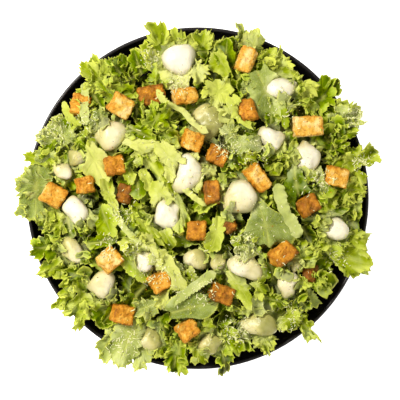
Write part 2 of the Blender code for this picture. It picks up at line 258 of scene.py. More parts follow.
def leafShape(length, width, kind, chance, rings):
    # One leaf about its middle, in mm, with its tip at +X: rings that are shares of its outline. Waves that
    # grow towards the margin lift it, slide it along and pull it in, so that the margin winds; they run in
    # slanting lines from the midrib. The midrib folds the leaf, sways it sideways and bends it down.
    look = leafKinds[kind]
    bend, sway = chance.uniform(*leafRelief["bend"]), chance.uniform(*leafRelief["sway"])
    turn, outline, torn, along, teeth, perimeter = leafOutline(length, width, look, chance, rings[1])
    rho = rings[0][:, None]
    reach = rho * outline + look["teeth"][0] * rho ** 12 * teeth
    flatX, flatY = reach * np.cos(turn), reach * np.sin(turn)
    x, y, z = flatX.copy(), flatY.copy(), np.zeros_like(flatX)
    slant = np.interp(turn - leafRelief["lean"] * np.sin(turn) * (1 - rho), turn, along)
    for k, grow in enumerate(leafRelief["grow"]):
        rise, shift = harmonics(slant, perimeter / look["waves"][k], chance)
        grown = (1 - leafCut["calm"] * torn) * rho ** grow
        slide, pull = look["slide"][k] * grown * shift, look["pull"][k] * grown * rise
        x -= slide * np.sin(turn) + pull * np.cos(turn)
        y += slide * np.cos(turn) - pull * np.sin(turn)
        z += look["rise"][k] * grown * rise
    curl = look["curl"] * width / 2 * np.clip((rho - 0.4) / 0.6, 0, 1) ** 2
    curl = curl * np.clip(0.8 + 0.9 * harmonics(along, 3, chance)[0], -0.4, 2)
    x -= leafRelief["curlPull"] * np.abs(curl) * np.cos(turn)
    y -= leafRelief["curlPull"] * np.abs(curl) * np.sin(turn)
    toTip = flatX / length
    rib = np.exp(-(flatY / np.clip(0.9 - 1.2 * toTip, 0.35, None)) ** 2) * np.clip(1.1 - 1.6 * toTip, 0, 1)
    sweep = (flatX - 0.9 * np.abs(flatY) + 0.6 * ripple(flatX, flatY, 14, chance)) / leafRelief["veinGap"]
    vein = (0.5 + 0.5 * np.cos(math.tau * sweep)) ** 14 * (1 - rib)
    blister = ripple(flatX, flatY, leafRelief["blister"], chance) * (1 - 0.7 * rib) * np.clip(1.3 - rho, 0, 1)
    z += curl + look["blister"] * blister - leafRelief["rib"] * rib - leafRelief["vein"] * vein
    hollow = look.get("hollow", 0) * (np.clip((rho - 0.15) / 0.6, 0, 1) ** 1.5 - 1)
    waist = 1 - look.get("waist", 0) * np.sin(math.pi * np.clip((rho - 0.15) / 0.85, 0, 1))
    x, y, z = x * waist, y * waist, z + hollow
    lean = math.radians(chance.uniform(*look["fold"]))
    high = z + (np.sqrt(y ** 2 + 2) - math.sqrt(2)) * math.sin(lean)
    x, y = bentRound(x, y * math.cos(lean), length, sway)
    x, z = bentRound(x, high, length, bend)
    grid = np.stack([x, y, z], -1)
    middle = grid[0].mean(0) - [0, 0, 0.3]
    edge = rho - 0.25 * torn * rho ** 8
    return grid, middle, (edge, rib, vein, high, np.stack([flatX, flatY], -1))


def leafShell(grid, middle, thickness, shares):
    # Two skins of a leaf, half a thickness to either side along the normals (the cross products of the steps
    # out and round) and thinner at the margin, joined by a strip round it.
    rings, around = grid.shape[:2]
    normal = unit(np.cross(np.gradient(grid, axis=0), np.roll(grid, -1, axis=1) - np.roll(grid, 1, axis=1)))
    centreStep = unit(normal[0].mean(0)) * thickness / 2
    step = normal * (thickness / 2 * (1 - 0.45 * shares ** 4))[:, None, None]
    skins = [np.concatenate([(grid + side * step).reshape(-1, 3), (middle + side * centreStep)[None]])
             for side in (1, -1)]
    count = rings * around + 1
    quads, fan = ringQuads(rings, around), ringFan(0, around, count - 1)
    spokes = (rings - 1) * around + np.arange(around)
    nextSpokes = np.roll(spokes, -1)
    strip = np.stack([spokes, count + spokes, count + nextSpokes, nextSpokes], -1)
    quads = np.concatenate([quads, quads[:, ::-1] + count, strip])
    return np.concatenate(skins), quads, np.concatenate([fan, fan[:, ::-1] + count])


def turned(points, yaw, pitch, roll):
    # Rolls a shape about X, tips its +X end up about Y, and turns it about Z.
    turns = [(math.cos(math.radians(angle)), math.sin(math.radians(angle))) for angle in (yaw, pitch, roll)]
    (yawC, yawS), (pitchC, pitchS), (rollC, rollS) = turns
    rolled = np.array([[1, 0, 0], [0, rollC, -rollS], [0, rollS, rollC]])
    tipped = np.array([[pitchC, 0, -pitchS], [0, 1, 0], [pitchS, 0, pitchC]])
    swung = np.array([[yawC, -yawS, 0], [yawS, yawC, 0], [0, 0, 1]])
    return points @ (swung @ tipped @ rolled).T


# Leaves on top, one by one: x and y in mm, the way the tip points in degrees, length and width in mm, kind,
# finish, lift over the heap in mm, how far the tip points up in degrees, and roll about the midrib.
topLeaves = (
    # upper left
    (-72, 88, 100, 30, 29, "frill", "lime", 3, 4, 0),
    (-84, 79, 170, 16, 13, "frill", "bright", 0, 0, 0),
    (-99, 44, 150, 33, 27, "frill", "frost", 3, 4, 8),
    (-104, 30, -150, 20, 16, "blade", "frost", 1, 0, 0),
    (-55, 93, 80, 20, 17, "blade", "leaf", -1, 10, 10),
    (-26, 106, 130, 42, 34, "fan", "lime", 3, 4, 0),
    (-39, 104, 160, 24, 20, "frill", "bright", 2, 8, 0),
    (-46, 82, 30, 14, 12, "lace", "dark", 0, 0, 0),
    (-70, 68, -60, 20, 17, "blade", "leaf", -2, 0, 0),
    (-69, 54, -100, 28, 14, "blade", "sage", 0, 0, 10),
    (-42, 62, -80, 18, 13, "lace", "dark", 0, 6, 0),
    (-40, 45, -30, 26, 18, "frill", "fresh", 1, 4, 0),
    (-77, 40, -110, 22, 15, "frill", "lime", 1, 4, 0),
    # top
    (-14, 84, -80, 40, 30, "sheet", "straw", 1, 0, 0),
    (4, 113, 85, 18, 15, "blade", "lime", 1, 12, 0),
    (-8, 109, 20, 20, 12, "frill", "bright", 1, 5, 0),
    (15, 108, -70, 16, 13, "frill", "bright", 1, 5, 0),
    (26, 106, 60, 16, 14, "cup", "dark", -2, 0, 0),
    (37, 111, 55, 24, 17, "blade", "straw", 1, 4, 0),
    (47, 106, 40, 14, 11, "lace", "dark", -1, 0, 0),
    (16, 94, -60, 24, 19, "blade", "lime", 2, 10, 15),
    (10, 101, 0, 30, 16, "blade", "leaf", -2, 0, 0),
    (14, 73, -90, 28, 25, "frill", "bright", 2, 6, 0),
    (29, 57, -58, 40, 14, "sheet", "vivid", 5, 0, 0),
    (46, 74, -70, 52, 30, "sheet", "sage", 1, 0, 5),
    (33, 75, 0, 14, 11, "frill", "frost", 1, 4, 0),
    (-28, 54, 60, 27, 22, "lace", "fresh", 1, 8, 0),
    (-22, 43, -45, 18, 14, "lace", "fresh", 1, 6, 0),
    (22, 43, -80, 25, 15, "frill", "frost", 0, 4, 0),
    # upper right
    (53, 106, -50, 19, 13, "frill", "lime", 1, 5, 0),
    (62, 96, -45, 25, 16, "frill", "bright", 2, 5, 0),
    (56, 85, -10, 27, 14, "blade", "lime", 1, 4, 0),
    (45, 96, -40, 14, 12, "lace", "dark", -2, 0, 0),
    (73, 77, -30, 21, 18, "frill", "bright", 2, 6, 0),
    (90, 77, 50, 26, 23, "blade", "leaf", 2, 4, 0),
    (103, 60, 10, 27, 23, "frill", "lime", 2, 4, 0),
    (96, 46, -70, 30, 22, "blade", "leaf", 0, 0, 0),
    (66, 62, -40, 15, 13, "lace", "dark", -2, 0, 0),
    (50, 54, -90, 17, 14, "frill", "leaf", -1, 4, 0),
    (77, 65, -60, 15, 12, "lace", "fresh", 0, 4, 0),
    # left
    (-114, 8, -95, 54, 25, "fan", "sage", 3, 0, -10),
    (-102, 31, 60, 21, 16, "frill", "leaf", 0, 8, 0),
    (-97, 22, 30, 13, 11, "lace", "lime", 1, 4, 0),
    (-87, 32, -80, 27, 13, "blade", "leaf", -1, 0, 0),
    (-71, 27, -62, 44, 21, "sheet", "straw", 4, 4, 0),
    (-60, 2, -75, 34, 15, "blade", "bright", 4, 0, 0),
    (-63, -14, -70, 28, 20, "blade", "fresh", 1, 4, 0),
    (-104, -14, 20, 29, 16, "frill", "lime", 1, 4, 0),
    (-100, -28, -60, 22, 17, "lace", "leaf", 1, 6, 0),
    (-109, -44, -80, 40, 23, "blade", "lime", 2, 0, 0),
    (-88, -19, -80, 18, 8, "blade", "leaf", 1, 0, 0),
    (-80, -22, -60, 17, 11, "frill", "fresh", 0, 4, 0),
    (-66, -30, 10, 27, 14, "blade", "fresh", 1, 6, 0),
    (-47, -12, -50, 27, 14, "frill", "fresh", 0, 4, 0),
    (-43, -34, -60, 22, 16, "lace", "fresh", 0, 4, 0),
    # middle
    (-35, 26, -20, 30, 24, "frill", "straw", 1, 4, 0),
    (-41, 36, 2, 32, 13, "sheet", "straw", 5, 0, 0),
    (-20, 29, -58, 36, 15, "sheet", "straw", 6, 0, 0),
    (-41, 9, -80, 22, 15, "sheet", "leaf", 3, 0, 0),
    (-25, 13, -62, 38, 20, "crease", "vivid", 6, 0, 10),
    (-11, -8, -78, 42, 11, "blade", "lime", 4, 0, 0),
    (-6, 20, -80, 38, 26, "blade", "straw", 1, 0, 0),
    (6, 24, 20, 12, 10, "lace", "leaf", 0, 4, 0),
    (17, 12, -90, 14, 8, "blade", "lime", 1, 4, 0),
    (31, 37, 10, 28, 20, "blade", "frost", 3, 0, 0),
    (24, 27, -40, 18, 12, "lace", "leaf", 0, 4, 0),
    (46, -19, 104, 50, 38, "wedge", "sage", 3, 0, 0),
    (13, -22, -100, 32, 18, "blade", "vivid", 3, 6, 0),
    (31, -30, -30, 27, 21, "frill", "fresh", 1, 4, 0),
    (28, -60, -52, 36, 13, "sheet", "lime", 4, 0, 8),
    (-38, -17, -50, 44, 17, "crease", "lime", 3, 0, 0),
    (-28, -24, -55, 34, 9, "blade", "lime", 2, 0, -10),
    (-11, -13, -100, 29, 13, "blade", "lime", 1, 6, 0),
    (-20, -47, -52, 42, 19, "blade", "straw", 5, 0, 0),
    (-41, -31, -40, 28, 22, "lace", "bright", 3, 0, 0),
    (-12, -58, -140, 24, 14, "frill", "lime", 2, 0, 0),
    # right
    (66, 33, -100, 19, 12, "blade", "lime", 1, 4, 0),
    (56, 36, -60, 15, 11, "frill", "bright", 1, 4, 0),
    (67, 10, -80, 42, 24, "sheet", "green", 3, 0, 0),
    (84, 13, -70, 24, 10, "blade", "frost", 1, 0, 0),
    (113, 22, -80, 53, 26, "fan", "lime", 2, 0, 8),
    (110, -3, -100, 21, 16, "lace", "lime", 1, 4, 0),
    (90, -1, -60, 19, 15, "lace", "lime", 1, 6, 0),
    (84, -13, 10, 40, 17, "crease", "green", 2, 0, 0),
    (74, -24, -60, 19, 14, "blade", "dark", -3, 0, 0),
    (86, -27, -80, 24, 13, "cup", "lime", 1, 4, 0),
    (113, -17, -70, 25, 18, "frill", "leaf", 1, 4, 0),
    (110, -42, -30, 38, 33, "fan", "lime", 3, 0, 0),
    (74, -38, -20, 27, 14, "frill", "lime", 1, 4, 0),
    # lower left
    (-90, -57, -50, 26, 23, "lace", "lime", 1, 6, 0),
    (-89, -77, -140, 27, 25, "frill", "lime", 2, 4, 0),
    (-69, -83, -100, 29, 22, "blade", "leaf", 0, 0, 0),
    (-59, -67, 60, 12, 10, "cup", "bright", 2, 8, 0),
    (-48, -99, -118, 44, 32, "fan", "pale", 4, -2, 0),
    (-40, -80, -90, 19, 14, "frill", "lime", 0, 4, 0),
    # bottom
    (-7, -75, 15, 48, 25, "sheet", "sage", 4, 0, -14),
    (-25, -88, -60, 19, 18, "lace", "leaf", 0, 4, 0),
    (-34, -74, 200, 21, 17, "frill", "frost", 1, 4, 0),
    (-31, -96, -90, 24, 19, "blade", "sage", -1, 0, 0),
    (7, -86, 60, 13, 10, "cup", "lime", 1, 6, 0),
    (34, -77, 0, 27, 11, "frill", "lime", 0, 4, 0),
    (20, -106, -60, 40, 25, "frill", "fresh", 1, 0, 0),
    (-13, -110, -90, 30, 21, "frill", "fresh", 1, -4, 0),
    # lower right
    (82, -58, -30, 24, 18, "lace", "fresh", 1, 6, 0),
    (89, -58, -50, 15, 13, "lace", "fresh", 0, 4, 0),
    (87, -76, -60, 16, 12, "frill", "pale", 1, 4, 0),
    (49, -69, -20, 21, 15, "lace", "fresh", 0, 4, 0),
    (63, -86, 40, 31, 15, "frill", "lime", 2, 4, 0),
    (78, -95, -60, 15, 12, "frill", "lime", 2, 0, 0),
    (47, -101, -60, 19, 17, "frill", "lime", 1, 0, 0),
    # between the others
    (0, 87, -85, 20, 15, "frill", "straw", 4, 4, 0),
    (-25, 2, -68, 27, 19, "sheet", "bright", 6, 0, 0),
    (-19, 18, -80, 16, 12, "blade", "straw", 5, 0, 0),
    (-33, -31, -60, 22, 14, "blade", "straw", 4, 4, 0),
    (-23, -67, -110, 20, 13, "frill", "straw", 4, 0, 0),
    (-27, -107, -95, 20, 15, "frill", "lime", 1, 0, 0),
    (-73, -12, -60, 14, 10, "frill", "pale", 2, 4, 0),
    (-46, 17, -80, 17, 11, "blade", "lime", 2, 0, 0),
    (-21, -26, -60, 19, 11, "blade", "lime", 4, 4, 0),
    (20, 59, -70, 17, 12, "frill", "bright", 3, 4, 0),
    (33, 28, -20, 15, 11, "frill", "lime", 2, 4, 0),
    (41, -60, -50, 16, 11, "frill", "lime", 2, 4, 0),
    (-35, 14, -70, 17, 10, "blade", "bright", 4, 2, 0),
    (-14, -46, -50, 15, 11, "frill", "frost", 3, 4, 0),
)
# How a leaf's finish reads: brightness, paleness, greyness, grated dust and greenness, each from 0 to 1.
# Brightness is the leaf's own tone and also painted shade: the darker finishes, dark most of all, go on leaves
# that lie low in shaded gaps.
leafFinishesAndShade = {
    "dark": (0.16, 0.0, 0.0, 0.02, 0.8),
    "leaf": (0.44, 0.0, 0.0, 0.02, 0.9),
    "green": (0.54, 0.0, 0.0, 0.08, 1.0),
    "fresh": (0.64, 0.0, 0.0, 0.02, 0.6),
    "lime": (0.80, 0.05, 0.0, 0.02, 0.25),
    "bright": (0.98, 0.15, 0.0, 0.0, 0.1),
    "vivid": (1.05, 0.0, 0.0, 0.0, 0.2),
    "straw": (1.08, 0.70, 0.12, 0.1, 0.0),
    "pale": (0.82, 0.35, 0.62, 0.1, 0.2),
    "sage": (0.58, 0.15, 0.60, 0.3, 0.5),
    "frost": (0.66, 0.30, 0.42, 0.8, 0.4),
}
pressing = {"gap": 0.9, "dent": 1.25, "power": 2.2}  # room under a topping in mm, and the shape of its dent
outlineShape = {"reach": 113.0, "share": 0.27, "drop": 1.5, "most": 14.0, "rimBand": 9, "rimGap": 1.2}


def toppingSpots(names):  # middle, radius, underside and half height of each topping
    spots = []
    for name in names:
        low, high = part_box(name)
        spots.append(((low.x + high.x) / 2, (low.y + high.y) / 2,
                      (high.x - low.x + high.y - low.y) / 4, low.z, (high.z - low.z) / 2))
    return spots


# Toppings that leaves partly cover.
coveredToppings = {"crouton_02", "crouton_05", "crouton_16", "crouton_18", "crouton_23",
                   "dollop_04", "dollop_11", "dollop_17", "dollop_21", "dollop_24"}
toppings = toppingSpots([name for name in croutonNodes + dollopNodes if name not in coveredToppings])
dollops = toppingSpots(dollopNodes)


def farFrom(points, spot):  # how far points are from a topping's middle, as a share of its radius
    return np.hypot(points[:, 0] - spot[0], points[:, 1] - spot[1]) / spot[2]


def pressed(points, spots):
    # Under each topping a leaf lies no higher than a bowl-shaped dent, which rises from the topping's
    # underside with a power of the distance from its middle. The dent under a flat topping is narrower.
    for spot in spots:
        radius, under, half = spot[2:]
        far = farFrom(points, spot)
        dent = under - pressing["gap"] * mm + half * pressing["dent"] * far ** pressing["power"]
        over = (far < (0.93 if half < 0.76 * radius else 1.05)) & (points[:, 2] > dent)
        points[over, 2] = dent[over]
    return points


def draped(points, spot):
    # Over a dollop a leaf lies just above the ball that the dollop fills.
    far = farFrom(points, spot) / 1.06
    under, half = spot[3:]
    top = under + half * (1.08 + 1.08 * np.sqrt(np.clip(1 - far ** 2, 0, 1))) + 0.5 * mm
    points[far < 1, 2] = np.maximum(points[:, 2], top)[far < 1]
    return points


def aboveRim(points):  # leaves near the rim and past it stay above it
    near = np.hypot(points[:, 0], points[:, 1]) > rimRadius - outlineShape["rimBand"] * mm
    points[near, 2] = np.maximum(points[near, 2], rimHeight + outlineShape["rimGap"] * mm)
    return points


def sauced(points):  # share of thin dressing: 1 at a dollop's edge, falling to 0 at 1.75 of its radius
    return np.max([np.clip((1.75 - farFrom(points, spot)) / 0.75, 0, 1) for spot in dollops], axis=0)


# Leaves round the rim, one by one: the direction each points in, how far from the middle its tip reaches, length
# and width in mm, kind and finish. Between them the bowl shows.
rimLeaves = (
    (3, 117, 24, 18, "lace", "lime"), (13, 131, 34, 23, "frill", "lime"), (20, 110, 20, 12, "lace", "leaf"),
    (28, 130, 34, 24, "frill", "frost"), (39, 127, 32, 20, "frill", "leaf"), (50, 111, 22, 20, "lace", "fresh"),
    (60, 119, 24, 16, "lace", "bright"), (70, 125, 26, 11, "frill", "pale"), (79, 113, 26, 20, "blade", "leaf"),
    (88, 117, 24, 18, "frill", "lime"), (97, 119, 26, 14, "frill", "lime"), (104, 127, 36, 19, "frill", "lime"),
    (114, 112, 22, 18, "blade", "leaf"), (122, 115, 20, 13, "lace", "leaf"), (130, 125, 36, 20, "frill", "lime"),
    (141, 109, 20, 14, "lace", "fresh"), (151, 115, 26, 15, "frill", "frost"), (158, 119, 26, 13, "frill", "frost"),
    (166, 123, 26, 15, "frill", "lime"), (175, 127, 34, 28, "frill", "sage"), (183, 126, 30, 20, "frill", "sage"),
    (191, 106, 20, 15, "lace", "lime"), (198, 124, 28, 17, "frill", "leaf"), (206, 124, 24, 11, "frill", "lime"),
    (212, 108, 20, 14, "lace", "leaf"), (217, 125, 28, 14, "lace", "lime"), (225, 125, 26, 14, "frill", "lime"),
    (233, 109, 22, 18, "blade", "leaf"), (240, 132, 42, 22, "fan", "pale"), (249, 129, 38, 20, "fan", "pale"),
    (262, 124, 28, 18, "frill", "leaf"), (270, 116, 22, 16, "lace", "lime"), (279, 121, 26, 15, "frill", "leaf"),
    (288, 112, 22, 16, "lace", "fresh"), (295, 118, 24, 15, "frill", "lime"), (310, 128, 30, 11, "frill", "lime"),
    (315, 110, 22, 17, "lace", "dark"), (325, 110, 22, 17, "lace", "leaf"), (338, 131, 40, 24, "blade", "lime"),
    (346, 121, 26, 15, "frill", "lime"), (355, 114, 22, 16, "lace", "fresh"),
    (75, 123, 22, 15, "frill", "frost"),
    (24, 121, 20, 15, "lace", "fresh"),
)


def keptInside(points):
    # Moves a leaf in towards the middle when it passes the outline: in each direction that is a fixed reach,
    # or as far as a rim leaf within half its own width of it reaches.
    out = np.hypot(points[:, 0], points[:, 1]) / mm
    way = np.degrees(np.arctan2(points[:, 1], points[:, 0]))
    limit = np.full(len(points), outlineShape["reach"])
    for turn, reach, _, width, _, _ in rimLeaves:
        away = np.abs((way - turn + 180) % 360 - 180) / (width * outlineShape["share"])
        limit = np.maximum(limit, np.where(away < 1.25, reach - outlineShape["drop"] * away ** 3, 0))
    worst = np.argmax(out - limit)
    excess = min(max(out[worst] - limit[worst], 0), outlineShape["most"])
    points[:, :2] -= unit(points[worst, :2]) * excess * mm
    return points


# high and bright go to the lettuce colour: high as painted light and shade by height in the leaf, bright as the leaf's
# tone with painted shade for leaves in shadow.
leafLabels = ("edge", "rib", "vein", "high", "bright", "pale", "grey", "dust", "green", "sauce")


def finishValues(finish, chance, count):  # a finish's numbers, each up to a tenth off, for every point
    return [np.full(count, min(value * chance.uniform(0.9, 1.1), 1.1)) for value in leafFinishesAndShade[finish]]


def placedLeaf(entry, number, seed, spots, rings, inside=True, over=None):
    # A leaf turned and set on the heap, kept inside the outline, pressed under toppings and over the rim.
    x, y, turn, length, width, kind, finish, lift, tip, roll = entry
    chance = np.random.default_rng(seed * 1000 + number)
    grid, middle, (edge, rib, vein, high, places) = leafShape(length, width, kind, chance, rings)
    points = np.concatenate([grid.reshape(-1, 3), middle[None]])
    points = turned(points, turn, tip, roll + chance.uniform(-14, 14)) * mm
    points += np.array([x * mm, y * mm, heapTop(x * mm, y * mm) + lift * mm])
    if inside:
        points = keptInside(points)
    points = aboveRim(pressed(points, spots))
    if over is not None:
        points = draped(points, over)
    shell, quads, fans = leafShell(points[:-1].reshape(grid.shape), points[-1], leafRelief["thick"] * mm, rings[0])
    finishes = finishValues(finish, chance, len(shell))

    def twice(values, centre):  # the same values for both skins, with one for the middle
        return np.tile(np.append(np.asarray(values, float).ravel(), centre), 2)

    spread = np.concatenate([places.reshape(-1, 2), [[0, 0]]]) * mm + chance.uniform(0, 3, 2)
    # The height within each leaf goes to its colour as painted light on the high folds and painted shade in the
    # hollows.
    values = [twice(edge, 0), twice(rib, 1), twice(vein, 0), twice(np.clip(high / 9 + 0.5, 0, 1), 0.45)]
    return shell, quads, fans, values + finishes + [sauced(shell), np.tile(spread, (2, 1))]


def placedLeaves(name, entries, seed, rings, inside=True):
    parts = [placedLeaf(entry, k, seed, toppings, rings, inside) for k, entry in enumerate(entries)]
    print(name, len(parts))
    return parts


def rimEntries():
    # Each rim leaf about half its length in from where its tip reaches, nudged at random.
    chance = np.random.default_rng(23)
    entries = []
    for turn, reach, length, width, kind, finish in rimLeaves:
        out, way = reach - length * 0.52, math.radians(turn)
        entries.append((out * math.cos(way), out * math.sin(way), turn + chance.uniform(-8, 8), length, width,
                        kind, finish, chance.uniform(-1.5, 1.0), chance.uniform(-3, 4), chance.uniform(-8, 8)))
    return entries


# Leaves that fill in, made by rule. A count with a reach is a spiral of golden angles out to that reach, and
# one with an out goes evenly round, that far from the middle. The rest are ranges, in mm and degrees, and
# the kinds and finishes to draw from. Clear ones are left out where a topping lies.
# Their darker finishes paint shade on the leaves deep in the heap.
underLeaves = {"count": 86, "reach": 99, "start": 0.0, "nudge": 0.25, "length": (24, 38), "width": (0.6, 0.85),
               "lift": (-8.5, -3.5), "rimLift": 4, "yaw": (0, 360), "tip": (-8, 12), "roll": (-20, 20),
               "kinds": ("frill", "lace", "frill", "lace", "blade"),
               "finishes": ("dark", "leaf", "green", "leaf", "fresh"), "seed": 40}
smallCurls = {"count": 80, "reach": 102, "start": 1.1, "nudge": 0.3, "length": (11, 20), "width": (0.65, 0.95),
              "lift": (-6.0, -2.5), "yaw": (0, 360), "tip": (-10, 18), "roll": (-35, 35),
              "kinds": ("frill", "lace", "tulip", "lace", "cup", "tulip"),
              "finishes": ("fresh", "leaf", "lime", "green", "leaf", "fresh"), "clear": 2.5, "seed": 44}
sideLeaves = {"count": 44, "out": (95, 101), "nudge": 0.3, "length": (22, 30), "width": (0.75, 1.0),
              "lift": (-12, -6), "yaw": (-35, 35), "tip": (-60, -30), "roll": (-25, 25),
              "kinds": ("frill", "lace", "frill", "blade"),
              "finishes": ("leaf", "fresh", "green", "leaf", "lime"), "seed": 52}
goldenAngle = math.pi * (3 - math.sqrt(5))


def fillEntries(look):
    # The spiral's radius is its reach times the root of the share of leaves laid. Round the side, a leaf's
    # tip points outwards, give or take its yaw.
    chance = np.random.default_rng(look["seed"])
    count = look["count"]
    entries = []
    for k in range(count):
        if "reach" in look:
            out = look["reach"] * math.sqrt((k + 0.5) / count)
            way = k * goldenAngle + look["start"] + chance.uniform(-look["nudge"], look["nudge"])
            facing = 0
        else:
            way = math.tau * (k + chance.uniform(-look["nudge"], look["nudge"])) / count
            out, facing = chance.uniform(*look["out"]), math.degrees(way)
        x, y, length = out * math.cos(way), out * math.sin(way), chance.uniform(*look["length"])
        kind = look["kinds"][int(chance.integers(len(look["kinds"])))]
        finish = look["finishes"][int(chance.integers(len(look["finishes"])))]
        entry = (x, y, facing + chance.uniform(*look["yaw"]), length, length * chance.uniform(*look["width"]),
                 kind, finish, chance.uniform(*look["lift"]) + (look.get("rimLift", 0) if out > 96 else 0),
                 chance.uniform(*look["tip"]), chance.uniform(*look["roll"]))
        clear = look.get("clear")
        if clear is None or all(math.hypot(x - spot[0] / mm, y - spot[1] / mm) > spot[2] / mm + clear
                                for spot in toppings):
            entries.append(entry)
    return entries


# Frills that lie over the edge of a dollop: its number, the direction the leaf comes from, length and width in
# mm, kind, finish and how far over the dollop it reaches, as a share of the dollop's radius.
overLeaves = (
    (2, 285, 15, 11, "frill", "pale", 0.35), (2, 30, 12, 9, "lace", "lime", 0.3),
    (3, 120, 16, 12, "frill", "sage", 0.3), (5, 245, 14, 11, "lace", "fresh", 0.35),
    (6, 175, 16, 12, "lace", "lime", 0.4), (6, 265, 12, 9, "frill", "lime", 0.3),
    (7, 130, 18, 11, "frill", "straw", 0.35), (7, 0, 14, 10, "frill", "straw", 0.3),
    (8, 235, 13, 9, "frill", "sage", 0.25), (9, 75, 20, 10, "blade", "vivid", 0.55),
    (13, 165, 15, 11, "lace", "lime", 0.4), (14, 340, 13, 11, "lace", "leaf", 0.4),
    (14, 160, 13, 9, "lace", "lime", 0.3), (15, 20, 15, 11, "frill", "straw", 0.4),
    (16, 265, 14, 9, "blade", "lime", 0.35), (18, 95, 20, 15, "lace", "frost", 0.55),
    (19, 325, 15, 12, "tulip", "leaf", 0.35), (19, 250, 13, 10, "lace", "lime", 0.3),
    (20, 100, 14, 11, "lace", "leaf", 0.4), (20, 10, 12, 9, "lace", "lime", 0.3),
    (22, 95, 18, 11, "frill", "pale", 0.35), (12, 290, 12, 9, "lace", "fresh", 0.25),
)


def overParts():
    # Each frill starts past the dollop's edge and points at its middle.
    chance = np.random.default_rng(29)
    parts = []
    for k, (number, turn, length, width, kind, finish, share) in enumerate(overLeaves):
        spot = dollops[number - 1]
        out, way = spot[2] / mm * (1 - share) + length / 2, math.radians(turn)
        entry = (spot[0] / mm + out * math.cos(way), spot[1] / mm + out * math.sin(way),
                 turn + 180 + chance.uniform(-12, 12), length, width, kind, finish,
                 chance.uniform(1.0, 2.5), chance.uniform(4, 12), chance.uniform(-10, 10))
        others = [other for other in toppings if other != spot]
        parts.append(placedLeaf(entry, k, 31, others, fineRings, True, spot))
    print("leaves over dollops", len(parts))
    return parts


def leafPiece(name, parts, material):  # joins leaves into one mesh with the values its material reads
    points, faces = stacked([part[:3] for part in parts])
    piece = makePiece(name, points, faces, material, "lettuce")
    addValues(piece, {label: np.concatenate([part[3][k] for part in parts]) for k, label in enumerate(leafLabels)})
    addMap(piece, "leafMap", np.concatenate([part[3][-1] for part in parts]))
    return piece


def srgb(red, green, blue):  # a screen colour from 0 to 255 as linear light
    return tuple(((c / 255 + 0.055) / 1.055) ** 2.4 if c > 10 else c / 255 / 12.92 for c in (red, green, blue)) + (1,)


def put(made, settings):
    # Each setting goes to the input of that name, as a link when it is a socket, or else to the node itself.
    for name, value in settings.items():
        if name not in made.inputs.keys():
            setattr(made, name, value)
        elif isinstance(value, bpy.types.NodeSocket):
            made.id_data.links.new(value, made.inputs[name])
        else:
            made.inputs[name].default_value = value
    return made


def node(tree, kind, **settings):
    return put(tree.nodes.new(kind), settings)


def newMaterial(name):  # a material, its nodes, its shader and the place on the object
    material = bpy.data.materials.new(name)
    material.use_nodes = True
    tree = material.node_tree
    return material, tree, tree.nodes["Principled BSDF"], node(tree, "ShaderNodeTexCoord").outputs["Object"]


def valuesOf(tree, labels):  # values stored on the piece's points
    return [node(tree, "ShaderNodeAttribute", attribute_name=label).outputs["Fac"] for label in labels]


def times(tree, first, second, addend=0.0):  # first times second, plus addend
    made = node(tree, "ShaderNodeMath", operation="MULTIPLY_ADD")
    for socket, value in zip(made.inputs, (first, second, addend)):
        if isinstance(value, bpy.types.NodeSocket):
            tree.links.new(value, socket)
        else:
            socket.default_value = value
    return made.outputs[0]


def weighed(tree, total, *terms):  # a start plus each value, counted from its own middle, times its weight
    for value, middle, weight in terms:
        total = times(tree, value, weight, total) if middle == 0 else times(
            tree, times(tree, value, 1.0, -middle), weight, total)
    return total


def ranged(tree, value, low, high, toLow=0.0, toHigh=1.0):  # low to high, stretched onto another range
    settings = {"Value": value, "From Min": low, "From Max": high, "To Min": toLow, "To Max": toHigh}
    return node(tree, "ShaderNodeMapRange", **settings).outputs["Result"]


def painted(tree, base, *coats):  # colours laid over a base, each by its mask times its strength
    for mask, strength, colour in coats:
        made = node(tree, "ShaderNodeMix", data_type="RGBA")
        share = times(tree, mask, strength) if isinstance(mask, bpy.types.NodeSocket) else mask * strength
        for place, value in ((0, share), (6, base), (7, colour)):
            if isinstance(value, bpy.types.NodeSocket):
                tree.links.new(value, made.inputs[place])
            else:
                made.inputs[place].default_value = value
        base = made.outputs[2]
    return base


def noiseOf(tree, place, scale, detail=3.0, roughness=0.55, distortion=0.0):
    return node(tree, "ShaderNodeTexNoise", Vector=place, Scale=scale, Detail=detail, Roughness=roughness,
                Distortion=distortion).outputs["Fac"]


def cellsOf(tree, place, scale, feature="F1"):  # distances in a cell pattern
    return node(tree, "ShaderNodeTexVoronoi", feature=feature, Vector=place, Scale=scale).outputs["Distance"]


def rampOf(tree, value, *stops):  # colours by value, from (place, red, green, blue) stops
    made = node(tree, "ShaderNodeValToRGB", Fac=value)
    elements = made.color_ramp.elements
    while len(elements) < len(stops):
        elements.new(0.5)
    for element, (place, *colour) in zip(elements, stops):
        element.position = place
        element.color = srgb(*colour)
    return made.outputs["Color"]


def bumpOf(tree, height, distance, strength=1.0):
    return node(tree, "ShaderNodeBump", Height=height, Distance=distance, Strength=strength).outputs["Normal"]


